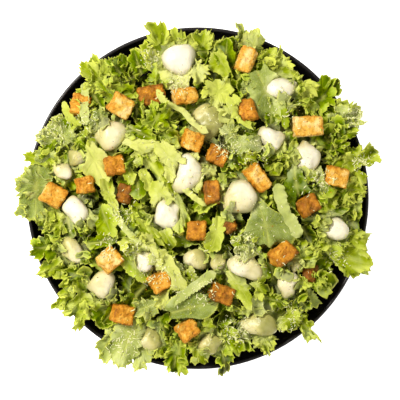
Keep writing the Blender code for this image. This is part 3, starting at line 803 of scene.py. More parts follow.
def grainGroup():
    # Two tones in soft clouds under a fine grain, for the bowl, the core, the cheese and the pepper.
    group = bpy.data.node_groups.new("cloudedGrain", "ShaderNodeTree")
    sockets = (("Place", "Vector", None), ("Cloud Scale", "Float", 100.0), ("Cloud Low", "Float", 0.3),
               ("Cloud High", "Float", 0.7), ("Dark Tone", "Color", (0, 0, 0, 1)), ("Light Tone", "Color", (1, 1, 1, 1)),
               ("Grain Scale", "Float", 1000.0), ("Grain Depth", "Float", 0.1 * mm))
    for name, kind, value in sockets:
        made = group.interface.new_socket(name=name, in_out="INPUT", socket_type="NodeSocket" + kind)
        if value is not None:
            made.default_value = value
    for name, kind in (("Tone", "Color"), ("Cloud", "Float"), ("Normal", "Vector")):
        group.interface.new_socket(name=name, in_out="OUTPUT", socket_type="NodeSocket" + kind)
    given = node(group, "NodeGroupInput").outputs
    cloud = ranged(group, noiseOf(group, given["Place"], given["Cloud Scale"]), given["Cloud Low"], given["Cloud High"])
    grain = noiseOf(group, given["Place"], given["Grain Scale"])
    tone = painted(group, given["Dark Tone"], (cloud, 1.0, given["Light Tone"]))
    normal = bumpOf(group, grain, given["Grain Depth"])
    node(group, "NodeGroupOutput", Tone=tone, Cloud=cloud, Normal=normal)
    return group


cloudedGrain = grainGroup()


def grained(tree, place, cloud, dark, light, grain):  # the group with its own scale, range, tones, and grain
    settings = {"Place": place, "Cloud Scale": cloud[0], "Cloud Low": cloud[1], "Cloud High": cloud[2],
                "Dark Tone": srgb(*dark), "Light Tone": srgb(*light),
                "Grain Scale": grain[0], "Grain Depth": grain[1] * mm}
    return node(tree, "ShaderNodeGroup", node_tree=cloudedGrain, **settings).outputs


def lettuceMaterial():
    # Colour runs from dark to pale by the leaf's brightness, its height, its nearness to the margin, soft patches and
    # mottling. Brightness is the leaf's own tone with painted shade for leaves that lie in shadow; height and margin
    # paint light on high folds and rims and shade in the hollows. Over it go the pale and the grey finishes, the net of
    # fine veins, the side veins, the midrib, the light margin (the leaf's own paleness and a painted highlight on the
    # lit rim), dust of grated cheese and a film of dressing. Some of the light passes through the leaf.
    material, tree, shader, place = newMaterial("lettuce")
    leafMap = node(tree, "ShaderNodeUVMap", uv_map="leafMap").outputs["UV"]
    edge, rib, vein, high, bright, pale, grey, dust, green, sauce = valuesOf(tree, leafLabels)
    patches = noiseOf(tree, leafMap, 110)
    mottle = noiseOf(tree, leafMap, 420, 3, 0.6)
    net = ranged(tree, cellsOf(tree, leafMap, 380, "DISTANCE_TO_EDGE"), 0.02, 0.10, 1.0, 0.0)
    # Painted light and shade: height and margin lighten high folds and rims and darken the hollows.
    level = weighed(tree, 0.0, (bright, 0.06, 1.0), (patches, 0.5, 0.6), (mottle, 0.5, 0.16), (high, 0.5, 1.25),
                    (edge, 0.62, 0.14))
    base = rampOf(tree, level, (0.02, 18, 30, 0), (0.24, 48, 66, 0), (0.46, 98, 118, 0), (0.70, 160, 174, 0),
                  (0.99, 222, 226, 112))
    greener = node(tree, "ShaderNodeMix", data_type="RGBA", blend_type="MULTIPLY")
    tree.links.new(green, greener.inputs[0])
    tree.links.new(base, greener.inputs[6])
    greener.inputs[7].default_value = (0.80, 0.96, 0.5, 1)
    soft = rampOf(tree, level, (0.1, 50, 60, 24), (0.5, 142, 156, 84), (0.95, 216, 222, 168))
    speckled = ranged(tree, noiseOf(tree, place, 1500, 2, 0.7), 0.52, 0.62)
    bloom = ranged(tree, noiseOf(tree, leafMap, 55, 2), 0.56, 0.70)
    film = weighed(tree, 0.0, (noiseOf(tree, place, 260, 4, 0.6), 0, 1.0), (sauce, 0, 0.45))
    filmShare = times(tree, ranged(tree, film, 0.68, 0.84), ranged(tree, sauce, 0.0, 0.25))
    colour = painted(
        tree, greener.outputs[2],
        (times(tree, pale, ranged(tree, patches, 0.25, 0.75, 0.35, 1.0)), 1.0, srgb(234, 233, 146)),
        (grey, 0.85, soft), (bloom, 0.42, srgb(224, 231, 178)), (net, 0.10, srgb(202, 214, 20)), (vein, 0.22, srgb(206, 218, 30)),
        # The light margin line: the leaf's own paleness and a painted highlight on the lit rim.
        (rib, 0.55, srgb(222, 226, 116)), (ranged(tree, edge, 0.915, 0.985), 0.66, srgb(234, 238, 98)),
        (times(tree, speckled, dust), 0.7, srgb(238, 240, 196)), (filmShare, 0.36, srgb(236, 236, 174)))
    relief = weighed(tree, 0.0, (cellsOf(tree, leafMap, 380, "SMOOTH_F1"), 0, 1.0), (mottle, 0, 0.35), (vein, 0, -0.3))
    normal = bumpOf(tree, relief, 0.32 * mm, 0.8)
    put(shader, {"Base Color": colour, "Roughness": ranged(tree, mottle, 0.3, 0.7, 0.30, 0.47), "Normal": normal,
                 "Specular IOR Level": 0.11, "Specular Tint": (1.0, 1.0, 0.0, 1)})
    through = node(tree, "ShaderNodeBsdfTranslucent", Normal=normal,
                   Color=painted(tree, colour, (1.0, 0.3, srgb(206, 216, 10))))
    blend = node(tree, "ShaderNodeMixShader", Fac=0.30)
    tree.links.new(shader.outputs[0], blend.inputs[1])
    tree.links.new(through.outputs[0], blend.inputs[2])
    tree.links.new(blend.outputs[0], tree.nodes["Material Output"].inputs["Surface"])
    return material


def shared(parts, limit=180000):  # packs leaves into pieces of fewer triangles than the limit
    groups, count = [[]], 0
    for part in parts:
        size = len(part[1]) * 2 + len(part[2])
        if count + size > limit:
            groups.append([])
            count = 0
        groups[-1].append(part)
        count += size
    return groups


leafParts = {"topLeaves": placedLeaves("top leaves", topLeaves, 7, fineRings),
             "rimLeaves": placedLeaves("rim leaves", rimEntries(), 19, fineRings, False),
             "underLeaves": placedLeaves("under leaves", fillEntries(underLeaves), 11, coarseRings),
             "sideLeaves": placedLeaves("side leaves", fillEntries(sideLeaves), 37, coarseRings),
             "coverLeaves": overParts(),
             "smallCurls": placedLeaves("small curls", fillEntries(smallCurls), 13, fineRings)}
lettuce = lettuceMaterial()
leafPieces = [leafPiece(f"{name}{k + 1}", group, lettuce)
              for name, parts in leafParts.items() for k, group in enumerate(shared(parts))]
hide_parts("salad")
print("leaf pieces", len(leafPieces))

# Core of the heap, well under the leaves.
coreShape = {"reach": 93, "sink": 12, "bump": 3.0, "wave": 9, "rings": 40, "lowRings": 13, "spokes": 110,
             "wall": (8, 2.2), "clear": 2, "seed": 5}


def heapCore():
    # A closed lathe-like grid: the upper rings follow the heap's top a fixed way below it with a crumpled
    # relief, and the lower rings follow the bowl's wall down to its floor.
    chance = np.random.default_rng(coreShape["seed"])
    turn = np.linspace(0, math.tau, coreShape["spokes"], endpoint=False)
    out = np.linspace(0, 1, coreShape["rings"] + 1)[1:, None] * coreShape["reach"] * mm
    x, y = out * np.cos(turn), out * np.sin(turn)
    bumps = ripple(x / mm, y / mm, coreShape["wave"], chance)
    bumps += ripple(x / mm, y / mm, coreShape["wave"] * 0.4, chance) * 0.35
    top = heapTop(x, y) + (bumps * coreShape["bump"] - coreShape["sink"]) * mm
    down = np.linspace(0, 1, coreShape["lowRings"] + 1)[1:, None]
    lowOut = coreShape["reach"] * mm * (1 - down * 0.75)
    floor, power = coreShape["wall"]
    wall = floor * mm + (rimHeight - floor * mm) * (lowOut / (rimRadius - 4 * mm)) ** power
    low = np.minimum(wall + coreShape["clear"] * mm, top[-1].min() - 1 * mm)
    lower = np.stack(np.broadcast_arrays(lowOut * np.cos(turn), lowOut * np.sin(turn), low), -1)
    grid = np.concatenate([np.stack([x, y, top], -1), lower])
    points = np.concatenate([grid.reshape(-1, 3), [[0, 0, top[0].mean()], [0, 0, low.min() - 0.5 * mm]]])
    quads, fans = tubeFaces(len(grid), coreShape["spokes"])
    return points, quads.tolist() + fans.tolist()


def coreMaterial():
    material, tree, shader, place = newMaterial("heapCore")
    # Dark greens, darker than the leaves on top: painted shade for the leaves deep in the heap that show through gaps.
    folds = grained(tree, place, (120, 0.32, 0.72), (36, 46, 4), (104, 118, 14), (260, 3))
    put(shader, {"Base Color": folds["Tone"], "Normal": folds["Normal"], "Roughness": 0.6, "Specular IOR Level": 0.1})
    return material


makePiece("heapCore", *heapCore(), coreMaterial(), "lettuce")

# The bowl: the CAD profile turned finely, as a path of (radius, height) from the middle of the floor inside,
# up the inner wall, over the lip and down the outside to the middle of the base.
bowlShape = {"wall": 2.6, "floor": 4.0, "floorRadius": 30.0, "footRadius": 43.0, "footHeight": 3.5, "spokes": 128,
             "arcSteps": 28, "lipSteps": 10}


def bowlProfile():
    # One arc runs from the edge of the flat floor to the lip, half a circle goes over the lip, and an arc one
    # wall further out runs down to the foot.
    wall, floorAt, start, edge = (bowlShape[key] for key in ("wall", "floor", "floorRadius", "footRadius"))
    rim, lip, foot, steps = rimRadius / mm, wall / 2, bowlShape["footHeight"], bowlShape["arcSteps"]
    rise = rimHeight / mm - lip - floorAt
    bend = ((rim - wall - start) ** 2 + rise ** 2) / (2 * rise)
    centre = floorAt + bend
    end = math.acos((bend - rise) / bend)
    atFoot = math.acos((centre - foot) / (bend + wall))
    inner = [(start + bend * math.sin(t), centre - bend * math.cos(t)) for t in np.linspace(0, end, steps)]
    over = [(rim - lip - lip * math.cos(t), floorAt + rise + lip * math.sin(t))
            for t in np.linspace(0, math.pi, bowlShape["lipSteps"])[1:-1]]
    outer = [(start + (bend + wall) * math.sin(t), centre - (bend + wall) * math.cos(t))
             for t in np.linspace(end, atFoot, steps)]
    base = [(edge, foot - 1), (edge, 1), (edge - 0.3, 0.3), (edge - 1, 0), (edge - 6, 0), (0, 0)]
    return np.array([(0, floorAt), (start * 0.6, floorAt)] + inner + over + outer + base)


def lathe(profile, spokes):
    # Turns a profile about Z: each of its points but the two ends becomes a ring, and the ends close it.
    body = profile[1:-1] * mm
    turn = np.linspace(0, math.tau, spokes, endpoint=False)
    grid = np.stack(np.broadcast_arrays(body[:, :1] * np.cos(turn), body[:, :1] * np.sin(turn), body[:, 1:]), -1)
    ends = [[0, 0, height * mm] for height in profile[[0, -1], 1]]
    quads, fans = tubeFaces(len(body), spokes)
    return np.concatenate([grid.reshape(-1, 3), ends]), quads.tolist() + fans.tolist()


def bowlMaterial():
    material, tree, shader, place = newMaterial("blackGloss")
    skin = grained(tree, place, (60, 0.1, 0.9), (37, 34, 37), (45, 42, 45), (900, 0.02))
    put(shader, {"Base Color": skin["Tone"], "Roughness": ranged(tree, skin["Cloud"], 0, 1, 0.25, 0.33),
                 "Specular IOR Level": 0.25, "Normal": skin["Normal"]})
    return material


bowl = makePiece("blackBowl", *lathe(bowlProfile(), bowlShape["spokes"]), bowlMaterial(), "bowl")
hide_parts("bowl")
print("bowl and core")

# Ribs and narrow torn strips: where the middle runs in mm, width in mm, finish and lift over the heap.
leafStrips = (
    (((-77, 80), (-78, 66), (-77, 50)), 5.0, "pale", 4),
    (((-93, 67), (-88.5, 56), (-80, 50)), 4.0, "lime", 3),
    (((-28, 74), (-22, 65), (-11, 60), (-3, 51), (7, 44)), 3.4, "straw", 5),
    (((56, 70), (59, 58), (60, 47)), 3.6, "fresh", 3),
    (((-11, 8), (-3, 1), (6, -5)), 3.0, "straw", 4),
    (((54, 10), (58, -6), (66, -20), (68, -27)), 6.0, "pale", 4),
    (((12, -50), (-5, -62), (-24, -76)), 4.8, "pale", 5),
    (((-60, -2), (-50, -20), (-38, -31)), 3.2, "pale", 3),
)
stripShape = {"step": 0.9, "sides": 16, "ruffle": 1.5, "tooth": 0.8}


def smoothPath(corners, step):
    # A curve through the corners (Catmull-Rom: each stretch bends with the two corners on either side).
    p = np.array(corners, float)
    p = np.concatenate([[2 * p[0] - p[1]], p, [2 * p[-1] - p[-2]]])
    curve = []
    for k in range(1, len(p) - 2):
        count = max(2, int(np.linalg.norm(p[k + 1] - p[k]) / step))
        t = np.linspace(0, 1, count, endpoint=False)[:, None]
        curve.append(0.5 * (2 * p[k] + (p[k + 1] - p[k - 1]) * t
                            + (2 * p[k - 1] - 5 * p[k] + 4 * p[k + 1] - p[k + 2]) * t ** 2
                            + (3 * p[k] - p[k - 1] - 3 * p[k + 1] + p[k + 2]) * t ** 3))
    return np.concatenate(curve + [p[-2][None]])


def placedStrip(entry, number, seed, spots):
    # A thin flat profile along a path: a shallow channel with one wavy, toothed side and closed, cut ends.
    corners, width, finish, lift = entry
    chance = np.random.default_rng(seed * 1000 + number)
    path = smoothPath(corners, stripShape["step"])
    count, sides = len(path), stripShape["sides"]
    way = unit(np.gradient(path, axis=0))
    across = np.stack([-way[:, 1], way[:, 0]], -1)
    along = np.linspace(0, 1, count)
    still = along * 0
    taper = np.clip(np.minimum(along, 1 - along) * count * 0.3, 0.15, 1) ** 0.6
    wide = width * 0.66 * taper * (1 + 0.14 * ripple(along * 60, still, 11, chance))
    turn = np.linspace(0, math.tau, sides, endpoint=False)
    side = np.cos(turn)
    ruffle = stripShape["ruffle"] * ripple(along * 60, still, 8, chance)[:, None] * np.clip(side, 0, 1) ** 2
    ruffle = ruffle + 0.5 * ripple(along * 60, still + 30, 3.6, chance)[:, None] * side ** 2
    channel = width * 0.16 * np.abs(side) ** 1.6 * taper[:, None]
    lifted = np.sin(turn) * (0.16 + 0.2 * (1 - side ** 2)) * taper[:, None] + channel + ruffle
    teeth = np.resize(fineRings[1], count) * chance.uniform(0.3, 1.2, count) * taper
    aside = wide[:, None] * side + stripShape["tooth"] * teeth[:, None] * np.clip(side, 0, 1) ** 6
    flat = path[:, None] + across[:, None] * aside[..., None]
    base = heapTop(path[:, 0] * mm, path[:, 1] * mm) / mm + lift + 0.8 * ripple(along * 60, still, 26, chance)
    base[[0, -1]] -= 0.8
    grid = np.concatenate([flat, (base[:, None] + lifted)[..., None]], -1).reshape(-1, 3) * mm
    grid = aboveRim(pressed(grid, spots))
    points = np.concatenate([grid, grid.reshape(count, sides, 3)[[0, -1]].mean(1)])
    quads, fans = tubeFaces(count, sides)
    finishes = finishValues(finish, chance, len(points))

    def withEnds(values):  # the same values round or along the strip, with one for each end
        return np.append(np.broadcast_to(values, (count, sides)).ravel(), [0.5, 0.5])

    places = np.stack(np.broadcast_arrays(along[:, None] * count * stripShape["step"], side * width / 2), -1)
    places = np.concatenate([places.reshape(-1, 2), [[0, 0], [0, 0]]]) * mm + chance.uniform(0, 3, 2)
    # The margin and a fixed height value of 0.6 go to the colour as painted light, as on the leaves.
    values = [withEnds(0.5 + 0.5 * np.abs(side) ** 3), withEnds(0.1 + 0.35 * np.exp(-(side * 2.4) ** 2)),
              withEnds(0.0), withEnds(0.6)]
    return points, quads[:, ::-1], fans[:, ::-1], values + finishes + [sauced(points), places]


stripParts = [placedStrip(entry, k, 17, toppings) for k, entry in enumerate(leafStrips)]
leafPieces.append(leafPiece("leafStrips", stripParts, lettuce))
print("strips", len(stripParts))


def cubeBall(steps):
    # Directions on a ball from a cube with a grid of steps by steps on each side, and its squares facing out.
    across = np.tan(np.linspace(-math.pi / 4, math.pi / 4, steps + 1))
    a, b = np.meshgrid(across, across, indexing="ij")
    i, j = np.meshgrid(np.arange(steps), np.arange(steps), indexing="ij")
    corner = (i * (steps + 1) + j).ravel()
    square = np.stack([corner, corner + steps + 1, corner + steps + 2, corner + 1], -1)
    points, faces = [], []
    for axis in range(3):
        for side in (1, -1):
            place = np.zeros((steps + 1, steps + 1, 3))
            place[..., axis], place[..., (axis + 1) % 3], place[..., (axis + 2) % 3] = side, a, b
            faces.append((square if side > 0 else square[:, ::-1]) + len(points) * (steps + 1) ** 2)
            points.append(place.reshape(-1, 3))
    kept, where = np.unique(np.round(np.concatenate(points), 6), axis=0, return_inverse=True)
    return unit(kept), where.reshape(-1)[np.concatenate(faces)]


def planesOf(name, alike, least=0.0):
    # The flat sides of a CAD node about its middle: normals, distances. Sides that nearly share a normal
    # count once, for the largest of them, and sides under the least share of the largest area don't count.
    middle = pointsOf(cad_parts[name]).mean(0)
    kept = []
    sides = sorted(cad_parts[name].data.polygons, key=lambda face: -face.area)
    for face in sides:
        normal = np.array(face.normal)
        if face.area >= least * sides[0].area and all(normal @ other < alike for other, _ in kept):
            kept.append((normal, normal @ (np.array(face.center) - middle)))
    return middle, np.array([normal for normal, _ in kept]), np.array([far for _, far in kept])


def roundedBall(directions, normals, distances, power):
    # Distance to the surface: one over the power mean of how steeply each plane is met; high powers keep
    # the edges crisp. Also which plane is met first, and how near the next one is (1 on an edge).
    steep = np.clip(directions @ normals.T / distances, 1e-9, None)
    out = 1 / (steep ** power).sum(1) ** (1 / power)
    ranked = np.sort(steep, axis=1)
    return out, steep.argmax(1), ranked[:, -2] / ranked[:, -1]


def ripple3(points, length, chance, count=9):
    # Soft relief in space: the mean of sines of about one wave length that run in many directions.
    total = np.zeros(len(points))
    for _ in range(count):
        way = chance.normal(size=3)
        way *= math.tau / (np.linalg.norm(way) * length * chance.uniform(0.7, 1.4))
        total += np.sin(points @ way + chance.uniform(0, math.tau))
    return total / math.sqrt(count)


def pitted(points, pits, chance, size, depth):
    # Depth at each point of round pits at random places: a smooth bowl inside each pit's radius.
    total = np.zeros(len(points))
    for at in chance.integers(0, len(points), pits):
        radius = chance.uniform(*size)
        far = np.linalg.norm(points - points[at], axis=1) / radius
        total = np.maximum(total, chance.uniform(*depth) * np.clip(1 - far ** 2, 0, 1) ** 1.3)
    return total


# Croutons, in mm. The tones say how dark each is, in the order of their numbers: how far it is toasted, and for
# croutons that lie low under leaves also painted shade.
croutonLook = {"steps": 14, "power": 22, "swell": (0.46, 6), "grain": (0.28, 1.7), "pits": 54, "pitSize": (0.6, 2.1),
               "pitDepth": (0.3, 1.2), "crust": (0.80, 0.18), "seed": 60,
               "tones": (0.1, 1.15, 0.25, 0.15, 0.5, 0.75, -0.1, 0.45, 0.8, 0.65, 0.3, 0.45, 1.1, 0.45, 0.25, 1.2, 1.1,
                         1.2, 0.75, 0.7, 0.2, 0.45, 1.3, 0.95, 0.65, 0.45)}


def croutonPart(number, directions):
    # The rounded CAD block, plus a slow swell and a fine grain, less its pits.
    look = croutonLook
    chance = np.random.default_rng(look["seed"] + number)
    middle, normals, distances = planesOf(croutonNodes[number], 0.93, 0.25)
    out, side, near = roundedBall(directions, normals, distances, look["power"])
    base = directions * out[:, None] / mm
    pit = pitted(base, look["pits"], chance, look["pitSize"], look["pitDepth"])
    relief = look["swell"][0] * ripple3(base, look["swell"][1], chance)
    relief += look["grain"][0] * ripple3(base, look["grain"][1], chance)
    sides = chance.uniform(0, 1, len(normals)) ** 1.3
    shape = directions * (out / mm + relief - pit)[:, None]
    crust = np.clip((near - look["crust"][0]) / look["crust"][1], 0, 1) ** 1.5
    toast = np.clip(sides[side] * 0.75 + 0.25 * ripple3(base, 9, chance), 0, 1)
    tone = np.full(len(shape), look["tones"][number])
    return middle + shape * mm, {"crust": crust, "toast": toast, "pit": pit / look["pitDepth"][1], "tone": tone}


# Dollops, as shares of their radius. The tones say how thin each is, in the order of their numbers: 0 thick
# and white, 1 thin with the green showing; the high tones of dollops that lie low among leaves are also painted
# shade. The plain ones have nearly no tails.
dollopLook = {"steps": 12, "power": 26, "swell": 0.12, "fold": 0.06, "tail": (0.15, 0.5), "plain": {1, 9, 12},
              "plainTail": 0.15, "seed": 90,
              "tones": (0.0, 0.05, 0.4, 1.4, 0.1, 0.1, 0.15, 0.35, 0.05, 0.35, 0.65, 0.0, 0.1, 0.5, 0.2, 0.6, 0.7,
                        0.35, 0.35, 0.3, 0.9, 1.05, 0.9, 1.3)}


def dollopPart(number, directions):
    # The CAD ball with slow swellings, a few soft folds and one to three tails, each a bell over the angle
    # from its middle. Its tone rises towards one side, a painted shade on that side, and low, which the material
    # paints as shade, grows down its sides.
    look = dollopLook
    chance = np.random.default_rng(look["seed"] + number)
    middle, normals, distances = planesOf(dollopNodes[number], 0.99999)
    out = roundedBall(directions, normals, distances, look["power"])[0]
    slow = ripple3(directions, 2.2, chance, 5)
    folds = 1 - np.abs(ripple3(directions + 0.25 * ripple3(directions, 1.4, chance)[:, None], 1.5, chance, 4))
    size = 1 + look["swell"] * slow + look["fold"] * np.clip(folds, -1, 1)
    for _ in range(int(chance.integers(1, 4))):
        turn = chance.uniform(0, math.tau)
        way = np.array([math.cos(turn), math.sin(turn), -0.25]) / math.hypot(1, 0.25)
        away = np.arccos(np.clip(directions @ way, -1, 1)) / chance.uniform(0.28, 0.5)
        tail = chance.uniform(*look["tail"]) * (look["plainTail"] if number + 1 in look["plain"] else 1)
        size = size + tail * np.exp(-away ** 2)
    shape = directions * (out * size)[:, None]
    # low: 0 on top to 0.5 at the widest, for painted shade on the lower sides.
    low = np.clip(0.5 - shape[:, 2] / (2 * np.abs(shape[:, 2]).max()), 0, 1)
    # One side, chosen at random, gets a higher tone: painted shade across the dollop.
    turn = chance.uniform(0, math.tau)
    across = directions @ np.array([math.cos(turn), math.sin(turn), 0])
    return middle + shape, {"low": low, "tone": np.clip(look["tones"][number] * (1 + 0.6 * across), 0, 1)}


def toppingPiece(name, nodes, look, makePart, material, slot):  # one piece for all toppings of a kind
    directions, squares = cubeBall(look["steps"])
    parts = [makePart(number, directions) for number in range(len(nodes))]
    points, faces = stacked([(shape, squares) for shape, _ in parts])
    piece = makePiece(name, points, faces, material, slot)
    addValues(piece, {label: np.concatenate([values[label] for _, values in parts]) for label in parts[0][1]})
    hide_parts(*nodes)
    print(name, len(parts))
    return piece


def croutonMaterial():
    # Darker with toast, tone (with painted shade for croutons in shadow), crust, clouds and crumb, then dark specks and
    # browned pits.
    material, tree, shader, place = newMaterial("toastedBread")
    crust, toast, pit, tone = valuesOf(tree, ("crust", "toast", "pit", "tone"))
    clouds = noiseOf(tree, place, 190, 4, 0.6)
    crumb = noiseOf(tree, place, 900, 4, 0.65)
    level = weighed(tree, 0.09, (toast, 0, 0.26), (tone, 0, 0.52), (clouds, 0.5, 1.25), (crust, 0, 0.22),
                    (crumb, 0.5, 0.35))
    base = rampOf(tree, level, (0.06, 242, 208, 136), (0.28, 228, 178, 72), (0.50, 212, 144, 32),
                  (0.72, 172, 108, 12), (1.0, 112, 70, 4))
    specks = ranged(tree, noiseOf(tree, place, 560, 3, 0.6), 0.57, 0.66)
    colour = painted(tree, base, (specks, 0.6, srgb(132, 68, 10)), (pit, 0.45, srgb(176, 98, 30)))
    relief = weighed(tree, 0.0, (crumb, 0, 0.6), (cellsOf(tree, place, 620), 0, 0.6))
    put(shader, {"Base Color": colour, "Roughness": ranged(tree, crumb, 0.3, 0.7, 0.56, 0.68),
                 "Specular IOR Level": 0.3, "Normal": bumpOf(tree, relief, 0.6 * mm, 0.9)})
    return material


def dressingMaterial():
    # From white to thin and green by each dollop's tone (partly painted shade) and a slow swirl, and darker and
    # greener low on its sides as painted shade.
    material, tree, shader, place = newMaterial("creamyDressing")
    low, tone = valuesOf(tree, ("low", "tone"))
    swirl = noiseOf(tree, place, 130, 3, 0.5, 0.8)
    fine = noiseOf(tree, place, 700, 3, 0.5)
    level = weighed(tree, 0.0, (tone, 0, 0.75), (swirl, 0, 0.3))
    base = rampOf(tree, level, (0.20, 238, 231, 212), (0.44, 226, 215, 172), (0.68, 200, 191, 122),
                  (0.95, 148, 146, 74))
    # Painted shade low on the sides of each dollop.
    sides = ranged(tree, weighed(tree, 0.0, (low, 0, 1.0), (swirl, 0.5, 0.5)), 0.12, 0.55)
    relief = weighed(tree, 0.0, (swirl, 0, 1.0), (fine, 0, 0.12))
    put(shader, {"Base Color": painted(tree, base, (sides, 0.8, srgb(180, 172, 104))),
                 "Roughness": ranged(tree, fine, 0.3, 0.7, 0.32, 0.46), "Normal": bumpOf(tree, relief, 1.2 * mm, 0.5),
                 "Subsurface Weight": 0.2, "Subsurface Radius": (1.0, 0.8, 0.4), "Subsurface Scale": 2 * mm})
    return material


toastedBread = croutonMaterial()
croutons = toppingPiece("croutonPieces", croutonNodes, croutonLook, croutonPart, toastedBread, "crouton")
dressing = toppingPiece("dressingDollops", dollopNodes, dollopLook, dollopPart, dressingMaterial(), "dressing")


# Scattered bits: grated cheese, crumbs and pepper, dropped from above onto whatever shows there.
def surfaceTree(pieces):  # the pieces as one searchable surface
    points, faces = stacked([(pointsOf(piece), np.zeros((0, 3), int)) for piece in pieces])
    start = 0
    for piece in pieces:
        faces += [[start + k for k in face.vertices] for face in piece.data.polygons]
        start += len(piece.data.vertices)
    return BVHTree.FromPolygons(points.tolist(), faces)


saladSurface = surfaceTree(leafPieces + [croutons, dressing])


def dropped(places, deepest=7.0):
    # Rays straight down: the points met no deeper than some mm under the heap's top, and their normals.
    spots, normals = [], []
    for x, y in places:
        hit, normal, _, _ = saladSurface.ray_cast(Vector((x * mm, y * mm, 0.2)), Vector((0, 0, -1)))
        if hit is not None and hit.z > heapTop(x * mm, y * mm) - deepest * mm:
            spots.append(hit)
            normals.append(normal if normal.z > 0 else -normal)
    return np.array(spots), np.array(normals)


# Patches with grated cheese: x, y, radius and amount.
cheesePatches = (
    (110, 56, 9, 60), (30, -33, 13, 80), (114, 25, 9, 40), (-100, 48, 13, 60), (-33, 97, 7, 26), (-61, -33, 9, 26),
    (5, -64, 9, 26), (26, -90, 12, 60), (19, 34, 10, 40), (-51, -12, 9, 30), (84, 13, 9, 44), (-44, -34, 9, 34),
    (28, -93, 8, 30), (-14, 78, 10, 44), (-75, 50, 12, 34), (40, 30, 10, 24), (-30, -50, 12, 44), (96, -42, 10, 26),
    (-6, -60, 16, 30), (60, 60, 16, 26), (-50, -100, 14, 40), (62, -82, 12, 24), (0, 0, 90, 80), (0, -10, 108, 50),
)
shredLook = {"amount": 1.25, "long": (1.0, 4.0), "wide": 0.50, "thick": 0.38, "rings": 5, "seed": 71}


def patchPlaces(patches, chance, share=1.0):
    # Random places in each patch, evenly over its area and thinning out past its radius.
    places = []
    for x, y, radius, amount in patches:
        count = int(amount * share)
        out = radius * np.sqrt(chance.uniform(0, 1, count)) * chance.uniform(0.6, 1.15, count)
        turn = chance.uniform(0, math.tau, count)
        places.append(np.stack([x + out * np.cos(turn), y + out * np.sin(turn)], -1))
    return np.concatenate(places)


def makeShreds(material):
    # Each shred: a square profile along a short bow that lies on the surface, thinner at both ends.
    chance = np.random.default_rng(shredLook["seed"])
    spots, normals = dropped(patchPlaces(cheesePatches, chance, shredLook["amount"]))
    count, rings = len(spots), shredLook["rings"]
    way = unit(np.cross(normals, chance.normal(size=(count, 3))))
    way += normals * chance.uniform(-0.25, 0.35, count)[:, None]
    side = unit(np.cross(normals, way))
    up = unit(np.cross(way, side))
    shortest, longest = shredLook["long"]
    length = shortest + chance.uniform(0, 1, count) ** 1.6 * (longest - shortest)
    bow = chance.uniform(-0.35, 0.35, count)
    twist = chance.uniform(-1.0, 1.0, count)
    size = chance.uniform(0.7, 1.3, count)
    rows = []
    for s in np.linspace(-0.5, 0.5, rings):
        middle = spots + (way * (length * s)[:, None] + side * (bow * length * (4 * s * s - 1) * 0.5)[:, None]
                          + up * (0.30 - 0.5 * s * s)) * mm
        slim = size * (0.55 + 0.45 * (1 - (2 * abs(s)) ** 3)) / 2
        turn = twist * s * 2
        for a, b in ((1, 1), (-1, 1), (-1, -1), (1, -1)):
            wide = (a * np.cos(turn) - b * np.sin(turn)) * shredLook["wide"] * slim
            thick = (a * np.sin(turn) + b * np.cos(turn)) * shredLook["thick"] * slim
            rows.append(middle + (side * wide[:, None] + up * thick[:, None]) * mm)
    points = np.stack(rows, 1).reshape(-1, 3)
    caps = [[3, 2, 1, 0], [rings * 4 - 4, rings * 4 - 3, rings * 4 - 2, rings * 4 - 1]]
    faces = np.concatenate([ringQuads(rings, 4)[:, ::-1], caps])
    faces = (faces[None] + (np.arange(count) * rings * 4)[:, None, None]).reshape(-1, 4)
    return makePiece("gratedCheese", points, faces.tolist(), material, "dressing")


def grainShape():  # corners and sides of a twenty-sided ball
    mesh = bmesh.new()
    bmesh.ops.create_icosphere(mesh, subdivisions=1, radius=1.0)
    points = np.array([vertex.co[:] for vertex in mesh.verts])
    faces = np.array([[vertex.index for vertex in face.verts] for face in mesh.faces])
    mesh.free()
    return points, faces


def makeGrains(name, places, size, flat, material, slot, chance, values=()):
    # Small uneven balls, each stretched and turned at random, a third sunk into the surface under it.
    spots, normals = dropped(places)
    ball, sides = grainShape()
    count = len(spots)
    stretch = chance.uniform(0.6, 1.3, (count, 1, 3)) * chance.uniform(*size, (count, 1, 1))
    shapes = ball[None] * stretch * chance.uniform(0.75, 1.2, (count, len(ball), 1))
    turn = chance.uniform(0, math.tau, count)[:, None]
    spun = np.stack([shapes[..., 0] * np.cos(turn) - shapes[..., 1] * np.sin(turn),
                     shapes[..., 0] * np.sin(turn) + shapes[..., 1] * np.cos(turn), shapes[..., 2] * flat], -1)
    tangent = unit(np.cross(normals, [0.3, 1.0, 0.1]))
    basis = np.stack([tangent, np.cross(normals, tangent), normals], 1)
    points = np.einsum("nki,nij->nkj", spun, basis) + normals[:, None] * stretch[..., 2:] * flat * 0.4
    points = (points * mm + spots[:, None]).reshape(-1, 3)
    faces = (sides[None] + (np.arange(count) * len(ball))[:, None, None]).reshape(-1, 3)
    piece = makePiece(name, points, faces.tolist(), material, slot)
    addValues(piece, {label: np.repeat(chance.uniform(low, high, count), len(ball)) for label, low, high in values})


def bitsMaterial(name, cloud, dark, light, grain, rough):  # small bits in two tones with a grain
    material, tree, shader, place = newMaterial(name)
    skin = grained(tree, place, cloud, dark, light, grain)
    put(shader, {"Base Color": skin["Tone"], "Roughness": rough, "Normal": skin["Normal"]})
    return material


def aroundToppings(spots, share, amount):  # a patch at each topping, its radius a share of the topping's
    return [(spot[0] / mm, spot[1] / mm, spot[2] / mm * share, amount) for spot in spots]


